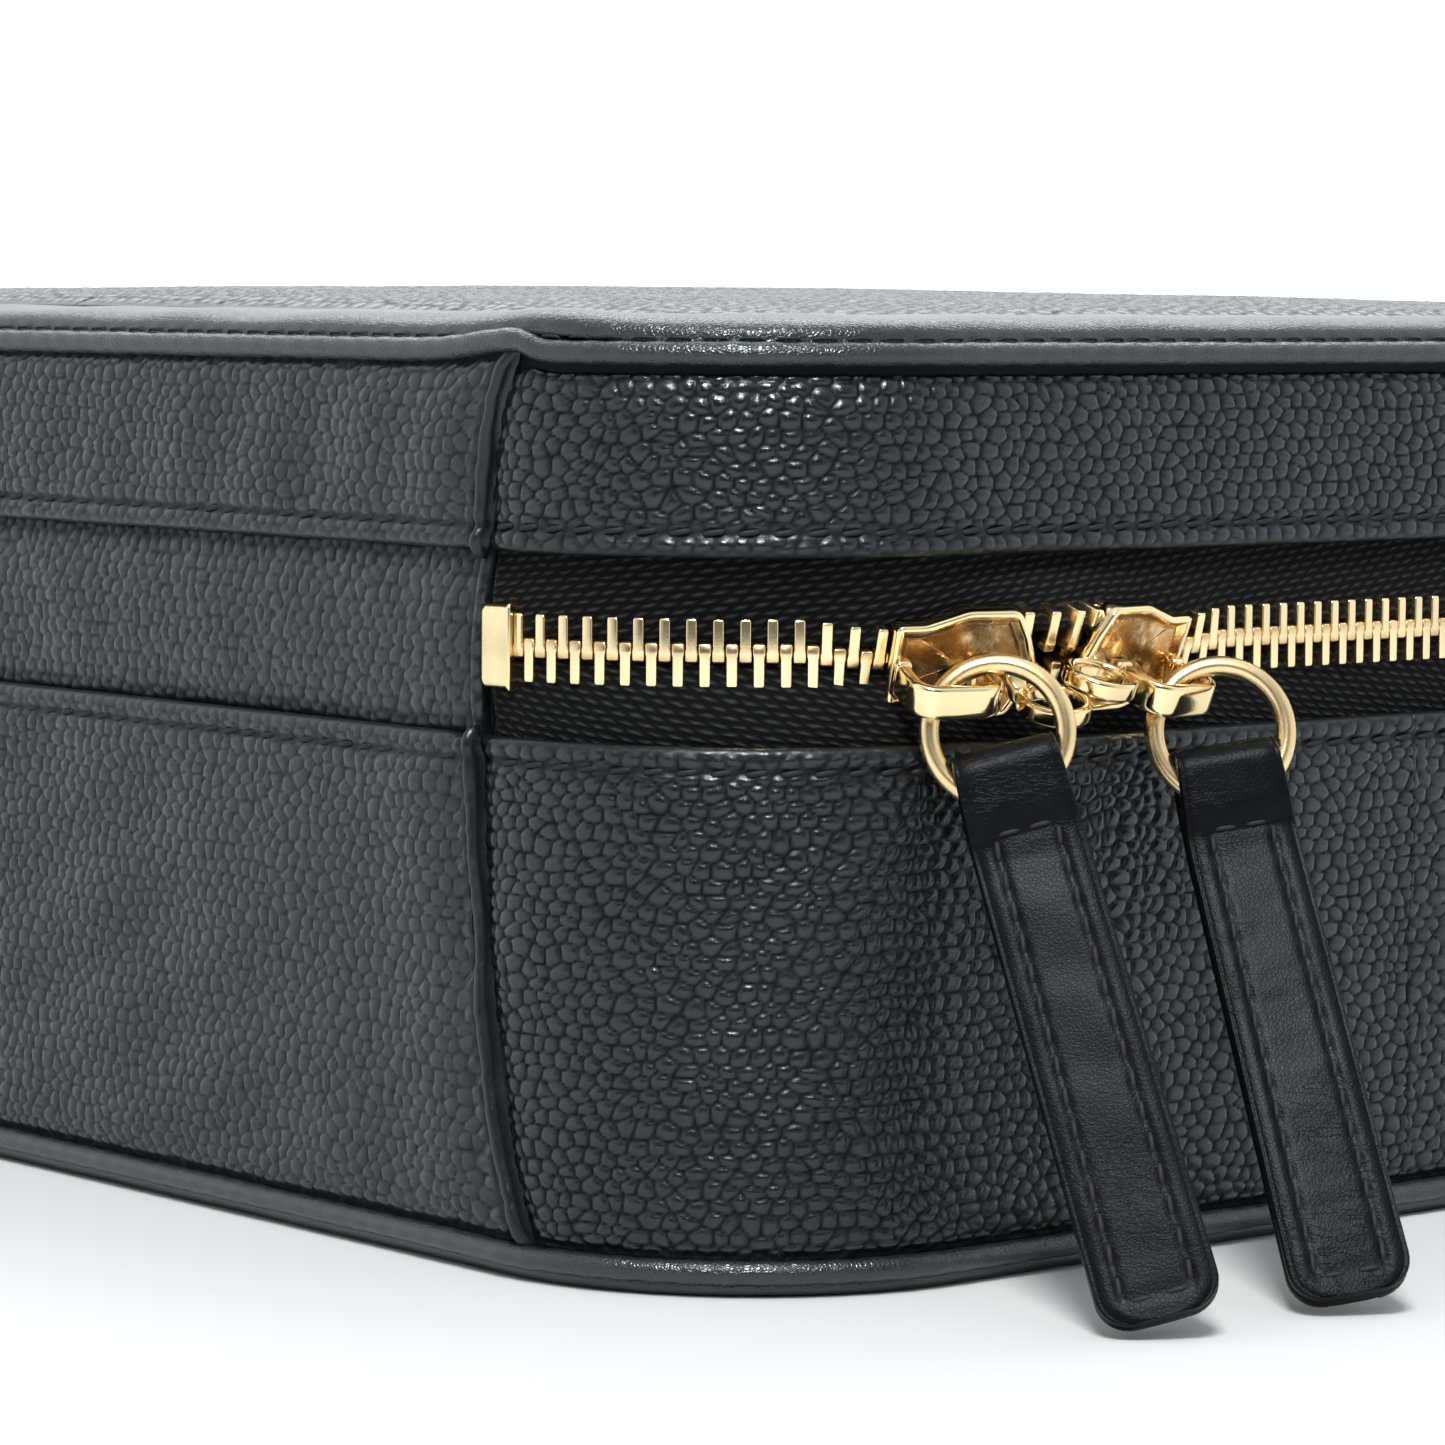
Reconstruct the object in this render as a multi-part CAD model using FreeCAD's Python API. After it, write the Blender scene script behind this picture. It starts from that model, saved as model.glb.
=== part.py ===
import FreeCAD, Part
import os
import math

V = FreeCAD.Vector
os.makedirs("parts", exist_ok=True)

# ---------------------------------------------------------------------------
# Leather jewellery case with a zip on three sides and a leather hinge at the
# back.  Millimetres, +Z up, origin on the floor under the middle of the case,
# +Y is the hinge side, -X the side on which the two zip sliders meet.
# ---------------------------------------------------------------------------

# outline of the case
CASE_W = 232.0          # along X
CASE_D = 174.0          # along Y
CORNER_R = 28.5         # outer corner radius of the leather walls
SEAM_X = 85.0           # the two upright seams on the back, from the middle

# heights of the leather bands
Z_BASE_LO = 3.4
Z_BASE_HI = 47.2
Z_LID_LO = 63.3
Z_LID_HI = 79.4
Z_ZIP = 55.0            # middle of the zip chain
DOME_TOP = 86.2

# wall build-up, from the outside in
LEATHER = 1.5
BOARD_0, BOARD_1 = 1.6, 3.6
LINING_0, LINING_1 = 3.7, 4.5
BASE_BOARD_TOP = 43.6
LID_BOARD_LOW = 66.9
BORDER_W = 14.0         # smooth border strip around the top and the underside
PIPING_R = 1.1

# zip
CHAIN_OFF = 2.0         # chain plane behind the outer face on the straight runs
PITCH = 2.25            # from tooth to tooth in one row
TOOTH_W, TOOTH_T = 0.84, 2.4
TOOTH_HEAD, TOOTH_END = -0.7, 2.95
TAPE_T = 0.6
TAPE_EDGE = 1.7         # tape edge from the middle of the chain
SPLAY = 1.35            # how far each row stands off inside the open end of a slider
SLIDER_TILT = 21.0      # the pulls' weight tips the sliders forward
SLIDER_Z = 54.7

# sliders
SL_HALF = 6.85          # half length
SL_TAIL, SL_WIDE = 3.75, 5.0
SL_N0, SL_N1, SL_N2 = 0.6, 1.4, 2.4      # slot, inner face and outer face of a plate
BAIL_U0, BAIL_U1 = -6.7, 2.0
BAIL_N = 8.2
BAIL_T, BAIL_H = 1.2, 3.0
EYE_U, EYE_N, EYE_OR, EYE_IR, EYE_T = 7.8, 5.0, 3.3, 2.4, 1.7

# rings and pull tabs
RING_R, WIRE_R = 5.85, 0.9
LOOP_L0, LOOP_L1, LOOP_HW, LOOP_HT = 1.0, 8.0, 4.4, 2.1
FLEX_L = 9.6            # from the ring's centre to the line where a tab bends
TAB_T = 3.0
TAB_LEN = 43.0          # from the bend to the tip
TAB_W0, TAB_W1, TAB_R = 9.6, 10.6, 2.8

# lid hinge
HINGE_Y, HINGE_Z = CASE_D / 2 - 2.3, 55.25

# ---------------------------------------------------------------------------
# helpers
# ---------------------------------------------------------------------------
HW, HD = CASE_W / 2, CASE_D / 2
CX, CY = HW - CORNER_R, HD - CORNER_R


def export(name, shape):
    shape.exportStep("parts/%s.step" % name)
    sol = shape.Solids
    print("%-22s solids %3d  vol %9.1f  valid %s" % (name, len(sol), sum(s.Volume for s in sol), shape.isValid()))


def rrect(off, z):
    a, b, r = HW - off, HD - off, CORNER_R - off
    x, y = a - r, b - r
    q = r * math.sqrt(0.5)
    e = []
    e.append(Part.LineSegment(V(-x, -b, z), V(x, -b, z)).toShape())
    e.append(Part.Arc(V(x, -b, z), V(x + q, -y - q, z), V(a, -y, z)).toShape())
    e.append(Part.LineSegment(V(a, -y, z), V(a, y, z)).toShape())
    e.append(Part.Arc(V(a, y, z), V(x + q, y + q, z), V(x, b, z)).toShape())
    e.append(Part.LineSegment(V(x, b, z), V(-x, b, z)).toShape())
    e.append(Part.Arc(V(-x, b, z), V(-x - q, y + q, z), V(-a, y, z)).toShape())
    e.append(Part.LineSegment(V(-a, y, z), V(-a, -y, z)).toShape())
    e.append(Part.Arc(V(-a, -y, z), V(-x - q, -y - q, z), V(-x, -b, z)).toShape())
    return Part.Wire(e)


def prism(off, z0, z1):
    return Part.Face(rrect(off, z0)).extrude(V(0, 0, z1 - z0))


def band(o0, o1, z0, z1):
    outer, inner = rrect(o0, z0), rrect(o1, z0)
    f = Part.Face(outer).cut(Part.Face(inner)).Faces[0]
    return f.extrude(V(0, 0, z1 - z0))


def box(x0, x1, y0, y1, z0, z1):
    return Part.makeBox(x1 - x0, y1 - y0, z1 - z0, V(x0, y0, z0))


def poly(pts, h):
    w = Part.makePolygon([V(*p) for p in pts] + [V(*pts[0])])
    return Part.Face(w).extrude(h)


def rounded(points, z=0.0):
    """closed outline in a plane from (x, y, radius) corners"""
    n = len(points)
    ends = []
    for i in range(n):
        x, y, r = points[i]
        p = V(x, y, z)
        a = V(points[i - 1][0], points[i - 1][1], z) - p
        b = V(points[(i + 1) % n][0], points[(i + 1) % n][1], z) - p
        a.normalize()
        b.normalize()
        if r <= 0:
            ends.append((p, None, p))
            continue
        ang = math.acos(max(-1, min(1, a.dot(b))))
        d = r / math.tan(ang / 2)
        m = a + b
        m.normalize()
        c = p + m * (r / math.sin(ang / 2))
        ends.append((p + a * d, c - m * r, p + b * d))
    e = []
    for i in range(n):
        s, m, t = ends[i]
        if m is not None:
            e.append(Part.Arc(s, m, t).toShape())
        nx = ends[(i + 1) % n][0]
        if (nx - t).Length > 1e-6:
            e.append(Part.LineSegment(t, nx).toShape())
    return Part.Wire(e)


def frame(o, x, y, z):
    m = FreeCAD.Matrix(x.x, y.x, z.x, o.x, x.y, y.y, z.y, o.y, x.z, y.z, z.z, o.z, 0, 0, 0, 1)
    return FreeCAD.Placement(m)


def placed(shape, pl):
    s = shape.copy()
    s.Placement = pl.multiply(s.Placement)
    return s


def compound(shapes):
    return Part.makeCompound(shapes)


# ---------------------------------------------------------------------------
# the zip's line.  Round the corner with the sliders it runs flatter than the
# leather, and it bends between the sliders, which are stiff.
# ---------------------------------------------------------------------------
FACE = 0.7022           # direction in which the corner points
FWD = V(math.cos(FACE), -math.sin(FACE), 0)
RGT = V(-math.sin(FACE), -math.cos(FACE), 0)
SIDE = math.degrees(FACE)
# (length, heading at its start, heading at its end)
RUNS = [(10, -38, -19), (4, -19, -12), (15, -12, 12), (4, 12, 22), (13.7, 22, 22), (4.4, 22, 48), (13.7, 48, 48), (6, 48, SIDE)]
S_LEFT, S_RIGHT = 39.85, 57.95


def head_t(a):
    a = math.radians(a)
    return RGT * math.cos(a) + FWD * math.sin(a)


def head_n(a):
    a = math.radians(a)
    return RGT * math.sin(a) - FWD * math.cos(a)


def zip_line(step=0.05):
    out = [(0.0, V(0, 0, 0), RUNS[0][1])]
    s, p = 0.0, V(0, 0, 0)
    for length, a, b in RUNS:
        n = int(round(length / step))
        for i in range(n):
            p = p + head_t(a + (b - a) * (i + 0.5) / n) * (length / n)
            s += length / n
            out.append((s, p, a + (b - a) * (i + 1) / n))
    sx = (-HW + CHAIN_OFF) - p.x
    out = [(q[0], q[1] + V(sx, HD - 2.0, 0), q[2]) for q in out]
    r = CORNER_R - CHAIN_OFF

    def straight(length):
        s0, p0, a0 = out[-1]
        n = int(round(length / step))
        for i in range(1, n + 1):
            out.append((s0 + length * i / n, p0 + head_t(a0) * (length * i / n), a0))

    def corner():
        s0, p0, a0 = out[-1]
        c = p0 - head_n(a0) * r
        n = int(round(r * math.pi / 2 / step))
        for i in range(1, n + 1):
            a = a0 + 90.0 * i / n
            out.append((s0 + r * math.pi / 2 * i / n, c + head_n(a) * r, a))

    straight(out[-1][1].y + CY)
    corner()
    straight(2 * CX)
    corner()
    straight(2 * CY)
    corner()
    return out


LINE = zip_line()
TOTAL = LINE[-1][0]


def on_line(s):
    i = min(range(int(s / 0.0501) - 60, int(s / 0.0499) + 60), key=lambda k: abs(LINE[k][0] - s) if 0 <= k < len(LINE) else 1e9)
    return LINE[i][1], LINE[i][2]


Z = V(0, 0, 1)
TH = math.radians(SLIDER_TILT)
LEFT_A, LEFT_B = S_LEFT - SL_HALF, S_LEFT + SL_HALF
RIGHT_A, RIGHT_B = S_RIGHT - SL_HALF, S_RIGHT + SL_HALF


FIRST_UP = 0.85
FIRST_LO = FIRST_UP + PITCH / 2


def gap_before(s, first):
    """place midway between two teeth of a row, at or before s"""
    return first + PITCH * (math.floor((s - first) / PITCH - 0.5) + 0.5)


def gap_after(s, first):
    return first + PITCH * (math.ceil((s - first) / PITCH - 0.5) + 0.5)


ZONE = {f: (gap_before(LEFT_A - 0.4, f), gap_after(RIGHT_B + 0.4, f)) for f in (FIRST_UP, FIRST_LO)}


def splay(s):
    if s < S_LEFT - 3.35 or s > S_RIGHT + 3.35:
        return 0.0
    if s < S_LEFT + 2.65:
        return SPLAY * (s - (S_LEFT - 3.35)) / 6.0
    if s > S_RIGHT - 2.65:
        return SPLAY * ((S_RIGHT + 3.35) - s) / 6.0
    return SPLAY


def zip_frame(s, first=FIRST_UP, z=Z_ZIP):
    p, a = on_line(s)
    t, n0 = head_t(a), head_n(a)
    if ZONE[first][0] < s < ZONE[first][1]:
        v = Z * math.cos(TH) + n0 * math.sin(TH)
        n = n0 * math.cos(TH) - Z * math.sin(TH)
        return frame(V(p.x, p.y, SLIDER_Z), t, v, n), t, v, n
    return frame(V(p.x, p.y, z), t, Z, n0), t, Z, n0


# ---------------------------------------------------------------------------
# base
# ---------------------------------------------------------------------------
back_zone = box(-SEAM_X, SEAM_X, HD - 12, HD + 5, -5, 120)
back_wide = box(-SEAM_X - 0.2, SEAM_X + 0.2, HD - 12, HD + 5, -5, 120)


def seam_bead(z0, z1):
    out = []
    for sx in (-1, 1):
        out.append(Part.makeCylinder(1.2, z1 - z0, V(sx * (SEAM_X - 1.2), HD - 0.4, z0)))
    return out


def back_panel(z0, z1):
    p = band(0, LEATHER, z0, z1).common(back_zone)
    for b in seam_bead(z0, z1):
        p = p.fuse(b)
    keep = box(-SEAM_X, SEAM_X, HD - LEATHER, HD + 3, z0, z1)
    return p.common(keep).removeSplitter()


base_gusset = band(0, LEATHER, Z_BASE_LO, Z_BASE_HI).cut(back_wide)
base_back = back_panel(Z_BASE_LO, Z_BASE_HI)
export("base_gusset", compound(base_gusset.Solids))
export("base_back_panel", compound(base_back.Solids))

export("base_floor_board", prism(1.8, 1.2, 3.2))
export("base_wall_board", band(BOARD_0, BOARD_1, 3.3, BASE_BOARD_TOP))
export("bottom_panel", prism(BORDER_W + 0.1, 0.0, 1.1))
export("bottom_border", band(0.4, BORDER_W - 0.1, 0.0, 1.05))


def piping(z):
    path = rrect(0.5, z)
    start = V(-(HW - CORNER_R), -(HD - 0.5), z)
    c = Part.Wire([Part.makeCircle(PIPING_R, start, V(1, 0, 0))])
    return path.makePipeShell([c], True, False)


bp = piping(2.2)
export("bottom_piping", compound(bp.Solids))

lining = prism(LINING_0, 3.3, BASE_BOARD_TOP).cut(prism(LINING_1, 4.1, BASE_BOARD_TOP + 5))
export("base_lining", lining)

# inside fittings: a bed of ring rolls, and two open wells parted by dividers
DIV_X = 18.0
DIV_TOP = 38.0
YI = HD - LINING_1 - 0.2
XI = HW - LINING_1 - 0.2
export("divider_long", box(DIV_X - 1.5, DIV_X + 1.5, -YI, YI, 4.2, DIV_TOP))
export("divider_cross", box(DIV_X + 1.6, XI, -1.5, 1.5, 4.2, DIV_TOP - 2))
rolls = []
for i in range(8):
    y = -64.75 + 18.5 * i
    r = Part.makeCylinder(8.4, 118.0, V(-103.0, y, 4.3 + 8.4), V(1, 0, 0))
    r = r.makeFillet(2.5, [e for e in r.Edges if isinstance(e.Curve, Part.Circle)])
    rolls.append(r)
export("ring_rolls", compound(rolls))

# hinge at the back, outside leather and inside lining
export("hinge_strip", box(-SEAM_X + 0.4, SEAM_X - 0.4, HD - 2.9, HD - 1.7, 44.0, 66.5))
export("hinge_lining", box(-SEAM_X + 0.4, SEAM_X - 0.4, HD - 3.7, HD - 3.1, 44.0, 66.5))

# ---------------------------------------------------------------------------
# lid
# ---------------------------------------------------------------------------
lid_gusset = band(0, LEATHER, Z_LID_LO, Z_LID_HI).cut(back_wide)
lid_back = back_panel(Z_LID_LO, Z_LID_HI)
export("lid_gusset", compound(lid_gusset.Solids))
export("lid_back_panel", compound(lid_back.Solids))
export("lid_wall_board", band(BOARD_0, BOARD_1, LID_BOARD_LOW, 79.35))
export("lid_top_board", prism(1.8, 79.45, 81.5))
lp = piping(Z_LID_HI + PIPING_R + 0.05)
export("lid_piping", compound(lp.Solids))
border = prism(0.6, 81.7, 83.6)
border = border.makeFillet(1.5, [e for e in border.Edges if e.BoundBox.ZMin > 83.5])
border = border.cut(prism(BORDER_W, 81, 90))
export("lid_border", border)
export("lid_foam", prism(BORDER_W + 0.2, 81.6, 83.0))
ball = Part.makeSphere(3600.0, V(0, 0, DOME_TOP - 3600.0))
top = prism(BORDER_W + 0.15, 83.1, 90.0).common(ball)
export("lid_top_panel", compound(top.Solids))
lid_lining = prism(LINING_0, LID_BOARD_LOW, 79.35).cut(prism(LINING_1, 50, 78.5))
export("lid_lining", lid_lining)

# ---------------------------------------------------------------------------
# zip: tapes, teeth, end stops
# ---------------------------------------------------------------------------
slot_lo, slot_hi = 0.2, TOOTH_END + 0.1
arm = box(-TOOTH_W / 2, TOOTH_W / 2, TOOTH_HEAD, TOOTH_END, -TOOTH_T / 2, TOOTH_T / 2)
arm = arm.cut(box(-2, 2, slot_lo, slot_hi, -0.42, 0.42))
upper_tooth = arm
lower_tooth = arm.mirror(V(0, 0, 0), V(0, 1, 0))
upper, lower = [], []
k = 0
while True:
    su = FIRST_UP + PITCH * k
    sl = FIRST_LO + PITCH * k
    if sl > TOTAL - 1.0:
        break
    k += 1
    for s, sgn, store, t0, first in ((su, 1, upper, upper_tooth, FIRST_UP), (sl, -1, lower, lower_tooth, FIRST_LO)):
        pl, t, v, n = zip_frame(s, first)
        pl = FreeCAD.Placement(v * (sgn * splay(s)), FreeCAD.Rotation()).multiply(pl)
        store.append(placed(t0, pl))
export("zip_teeth_upper", compound(upper))
export("zip_teeth_lower", compound(lower))


def strip(s0, s1, z0, z1):
    """upright tape along the zip's line"""
    n = max(2, int((s1 - s0) / 3.0))
    a, b = [], []
    for i in range(n + 1):
        p, h = on_line(s0 + (s1 - s0) * i / n)
        m = head_n(h) * (TAPE_T / 2)
        a.append((p.x + m.x, p.y + m.y, z0))
        b.append((p.x - m.x, p.y - m.y, z0))
    return poly(a + b[::-1], V(0, 0, z1 - z0))


def leaf(s0, s1, v0, v1, mid):
    """tape where a slider holds it tilted"""
    pl, t, v, n = zip_frame(mid)
    return placed(box(s0 - mid, s1 - mid, v0, v1, -TAPE_T / 2, TAPE_T / 2), pl)


def tape(up):
    out = []
    z0, z1 = (Z_ZIP + TAPE_EDGE, 66.4) if up else (44.2, Z_ZIP - TAPE_EDGE)
    za, zb = ZONE[FIRST_UP if up else FIRST_LO]
    out.append(strip(0.4, za - 0.15, z0, z1))
    out.append(strip(zb + 0.15, TOTAL - 0.4, z0, z1))
    v0, v1 = (TAPE_EDGE, 7.4) if up else (-7.8, -TAPE_EDGE)
    out.append(leaf(za + 0.15, LEFT_B - 0.2, v0, v1, S_LEFT))
    out.append(leaf(LEFT_B + 1.3, RIGHT_A - 1.3, v0, v1, (LEFT_B + RIGHT_A) / 2))
    out.append(leaf(RIGHT_A + 0.2, zb - 0.15, v0, v1, S_RIGHT))
    return out


export("zip_tape_upper", compound(tape(True)))
export("zip_tape_lower", compound(tape(False)))

stops = []
for s, sgn in ((0.0, -1), (TOTAL, 1)):
    p, a = on_line(s)
    pl = frame(V(p.x, p.y, Z_ZIP), head_t(a), Z, head_n(a))
    x0, x1 = (-2.4, 0.2) if sgn < 0 else (-0.2, 2.4)
    b = box(x0, x1, -3.65, 3.65, -1.6, 1.6)
    b = b.makeFillet(0.6, [e for e in b.Edges if abs(e.BoundBox.XLength) < 1e-6 and e.BoundBox.YLength > 5])
    stops.append(placed(b, pl))
export("zip_end_stops", compound(stops))

# ---------------------------------------------------------------------------
# sliders, bails, rings and pulls.  Slider frame: u towards its open end,
# v across the zip, n outward.
# ---------------------------------------------------------------------------
OUT = [(-6.85, -3.75, 0.6), (-4.2, -3.75, 3.0), (-0.3, -5.0, 3.0), (4.6, -5.0, 1.2), (5.9, -2.6, 2.0), (6.85, 0.0, 0.6)]
OUT = OUT + [(u, -v, r) for u, v, r in OUT[-2::-1]]
CH = [(-9, -3.3), (-3.2, -3.3), (2.8, -4.65), (9, -4.65), (9, 4.65), (2.8, 4.65), (-3.2, 3.3), (-9, 3.3)]


def slid(outline, n0, n1):
    return Part.Face(rounded(outline, n0)).extrude(V(0, 0, n1 - n0))


def inset(d):
    """slider outline drawn in by about d, with the same corners"""
    return [(u * (1 - d / 6.85), v * (1 - d / 4.6), max(r * 0.7, 0.25)) for u, v, r in OUT]


def slider_body(eye_v):
    channel = poly([(u, v, SL_N0 - 0.1) for u, v in CH], V(0, 0, SL_N1 - SL_N0 + 0.1))
    front = slid(OUT, SL_N0, SL_N2)
    front = front.makeFillet(0.22, [e for e in front.Edges if e.BoundBox.ZMin > SL_N2 - 0.01])
    dish = Part.makeLoft([rounded(inset(0.55), SL_N2 + 0.02), rounded(inset(1.5), SL_N2 - 0.55)], True, True)
    front = front.cut(dish).cut(channel)
    back = slid(OUT, SL_N0, SL_N2).cut(channel).mirror(V(0, 0, 0), V(0, 0, 1))
    post = poly([(1.8, 0, -SL_N1 - 0.1), (3.4, -0.5, -SL_N1 - 0.1), (6.2, -0.5, -SL_N1 - 0.1), (6.5, 0, -SL_N1 - 0.1), (6.2, 0.5, -SL_N1 - 0.1), (3.4, 0.5, -SL_N1 - 0.1)], V(0, 0, 2 * SL_N1 + 0.2))
    eye = Part.makeCylinder(EYE_OR, EYE_T, V(EYE_U, eye_v - EYE_T / 2, EYE_N), V(0, 1, 0))
    lo, hi = eye_v - EYE_T / 2, eye_v + EYE_T / 2
    arm_ = poly([(4.2, lo, 1.7), (6.2, lo, 1.5), (8.6, lo, 1.9), (5.0, lo, 5.2), (3.9, lo, 2.6)], V(0, EYE_T, 0))
    hole = Part.makeCylinder(EYE_IR, EYE_T + 2, V(EYE_U, eye_v - EYE_T / 2 - 1, EYE_N), V(0, 1, 0))
    eye = eye.fuse(arm_).cut(hole)
    return front.fuse(back).fuse(post).fuse(eye).removeSplitter()


def bail(v_mid):
    o = [(BAIL_U0, 1.9, 0), (BAIL_U1, 1.9, 0), (BAIL_U1, BAIL_N, 2.2), (BAIL_U0, BAIL_N, 2.2)]
    i = [(BAIL_U0 + BAIL_T, 1.0, 0), (BAIL_U1 - BAIL_T, 1.0, 0), (BAIL_U1 - BAIL_T, BAIL_N - BAIL_T, 1.1), (BAIL_U0 + BAIL_T, BAIL_N - BAIL_T, 1.1)]
    s = Part.Face(rounded(o)).extrude(V(0, 0, BAIL_H)).cut(Part.Face(rounded(i, -1)).extrude(V(0, 0, BAIL_H + 2)))
    # drawn in the (u, n) plane: turn it so that its height runs along v
    pl = frame(V(0, v_mid + BAIL_H / 2, 0), V(1, 0, 0), V(0, 0, 1), V(0, -1, 0))
    s.Placement = pl
    return s


def ring_and_pull(name, o, t, v, n, loc, heading, lean, turn, lift):
    """ring hung over one arm of the bail, tab hanging from the ring to the floor"""
    topp = o + t * loc[0] + v * loc[1] + n * loc[2]
    n0, r0 = head_n(heading), head_t(heading)
    la, tu, li = math.radians(lean), math.radians(turn), math.radians(lift)
    up = Z * math.cos(la) - n0 * math.sin(la)
    nn = n0 * math.cos(la) + Z * math.sin(la)
    c = topp - up * RING_R
    ring = Part.makeTorus(RING_R, WIRE_R)
    ring.Placement = frame(c, r0, up, nn)
    export("ring_" + name, ring)
    ll = up * (-math.cos(tu)) + r0 * math.sin(tu)
    w = r0 * math.cos(tu) + up * math.sin(tu)
    # loop of leather round the ring, drawn in (-w, l, n)
    outer = rounded([(LOOP_L0, -LOOP_HT, 1.6), (LOOP_L1, -1.5, 0), (LOOP_L1, 1.5, 0), (LOOP_L0, LOOP_HT, 1.6)])
    inner = rounded([(LOOP_L0 + 1.0, -1.12, 0.9), (7.1, -1.12, 0.5), (7.1, 1.12, 0.5), (LOOP_L0 + 1.0, 1.12, 0.9)])
    loop = Part.Face(outer).cut(Part.Face(inner)).Faces[0].extrude(V(0, 0, 2 * LOOP_HW))
    pl = frame(c - w * LOOP_HW, ll, ll.cross(w) * -1.0, w)
    loop.Placement = pl
    export("pull_%s_loop" % name, loop)
    flex = c + ll * FLEX_L
    l2 = ll * math.cos(li) + nn * math.sin(li)
    n2 = nn * math.cos(li) - ll * math.sin(li)
    # tab, drawn in (w, -l, n) from the bend line
    ol = [(-TAB_W0 / 2, 0, 0), (-TAB_W1 / 2, -TAB_LEN, TAB_R), (TAB_W1 / 2, -TAB_LEN, TAB_R), (TAB_W0 / 2, 0, 0)]
    tab = Part.Face(rounded(ol, -TAB_T / 2)).extrude(V(0, 0, TAB_T))
    tab = tab.makeFillet(0.45, [e for e in tab.Edges if abs(abs(e.BoundBox.ZMin) - TAB_T / 2) < 1e-6 and e.BoundBox.ZLength < 1e-6 and e.BoundBox.YMin < -1])
    tab = tab.fuse(Part.makeCylinder(TAB_T / 2, TAB_W0, V(-TAB_W0 / 2, 0, 0), V(1, 0, 0))).removeSplitter()
    core = box(-3.2, 3.2, -TAB_LEN + 4, -4, -0.4, 0.4)
    tab = tab.cut(core)
    pl = frame(flex, w, l2 * -1.0, n2)
    tab.Placement = pl.multiply(tab.Placement)
    core.Placement = pl.multiply(core.Placement)
    export("pull_%s_tab" % name, tab)
    export("pull_%s_filler" % name, core)
    print("JOINT ring_%s  c (%.3f, %.3f, %.3f) N (%.5f, %.5f, %.5f)" % (name, c.x, c.y, c.z, nn.x, nn.y, nn.z))
    print("JOINT pull_%s flex (%.3f, %.3f, %.3f) axis w (%.5f, %.5f, %.5f)" % (name, flex.x, flex.y, flex.z, w.x, w.y, w.z))
    print("   l2 (%.5f, %.5f, %.5f) n2 (%.5f, %.5f, %.5f) lowest %.3f" % (l2.x, l2.y, l2.z, n2.x, n2.y, n2.z, tab.BoundBox.ZMin))


for name, s, sgn, eye_v, bail_v, hang, heading, lean, turn, lift in (
    ("left", S_LEFT, 1, -2.7, -0.94, (1.3, 1.79, 5.85), -1.1, 9.7, 15.5, 14.4),
    ("right", S_RIGHT, -1, -0.45, -1.8, (5.9, 1.1, 7.15), 3.4, 13.0, 9.7, 16.9),
):
    pl, t, v, n = zip_frame(s)
    body = slider_body(eye_v)
    b = bail(bail_v)
    if sgn < 0:
        body = body.mirror(V(0, 0, 0), V(1, 0, 0))
        b = b.mirror(V(0, 0, 0), V(1, 0, 0))
    body = body.cut(b)
    export("slider_%s_body" % name, placed(compound(body.Solids), pl))
    export("slider_%s_bail" % name, placed(compound(b.Solids), pl))
    p, a = on_line(s)
    o = V(p.x, p.y, SLIDER_Z)
    armu = hang[0]
    pivot = o + t * armu + v * bail_v + n * hang[2]
    print("JOINT slider_%s o (%.3f, %.3f, %.3f) t (%.5f, %.5f) n0 (%.5f, %.5f) arm pivot (%.3f, %.3f, %.3f) n (%.5f, %.5f, %.5f)" % (name, o.x, o.y, o.z, t.x, t.y, head_n(a).x, head_n(a).y, pivot.x, pivot.y, pivot.z, n.x, n.y, n.z))
    ring_and_pull(name, o, t, v, n, hang, heading, lean, turn, lift)

print("zip length %.1f, teeth per row %d, start (%.2f, %.2f)" % (TOTAL, len(upper), LINE[0][1].x, LINE[0][1].y))
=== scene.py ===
import bpy
import math
import numpy as np
from mathutils import Matrix


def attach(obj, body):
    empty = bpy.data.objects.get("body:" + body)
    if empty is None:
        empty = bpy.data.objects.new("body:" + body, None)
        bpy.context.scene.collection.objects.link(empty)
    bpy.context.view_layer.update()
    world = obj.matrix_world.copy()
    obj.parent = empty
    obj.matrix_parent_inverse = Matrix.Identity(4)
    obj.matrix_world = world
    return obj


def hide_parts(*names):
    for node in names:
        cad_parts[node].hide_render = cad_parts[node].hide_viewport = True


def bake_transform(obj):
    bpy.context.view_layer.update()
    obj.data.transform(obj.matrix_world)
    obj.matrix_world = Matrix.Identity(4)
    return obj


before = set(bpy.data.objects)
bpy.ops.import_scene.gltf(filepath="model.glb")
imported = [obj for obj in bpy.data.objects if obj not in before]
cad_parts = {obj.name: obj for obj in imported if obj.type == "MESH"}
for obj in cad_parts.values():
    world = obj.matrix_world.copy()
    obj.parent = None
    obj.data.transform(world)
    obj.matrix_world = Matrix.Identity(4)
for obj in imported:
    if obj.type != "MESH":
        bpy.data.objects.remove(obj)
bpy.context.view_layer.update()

# ---------------------------------------------------------------------------
# Leather jewellery case.  Lengths below are millimetres in the part's frame:
# +Z up, +Y the hinged back, -X the side on which the zip sliders meet.
# ---------------------------------------------------------------------------
MM = 0.001
HW, HD, CR = 116.0, 87.0, 28.5
CX, CY = HW - CR, HD - CR
ARC = CR * math.pi / 2
SEAM = 85.0
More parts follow.
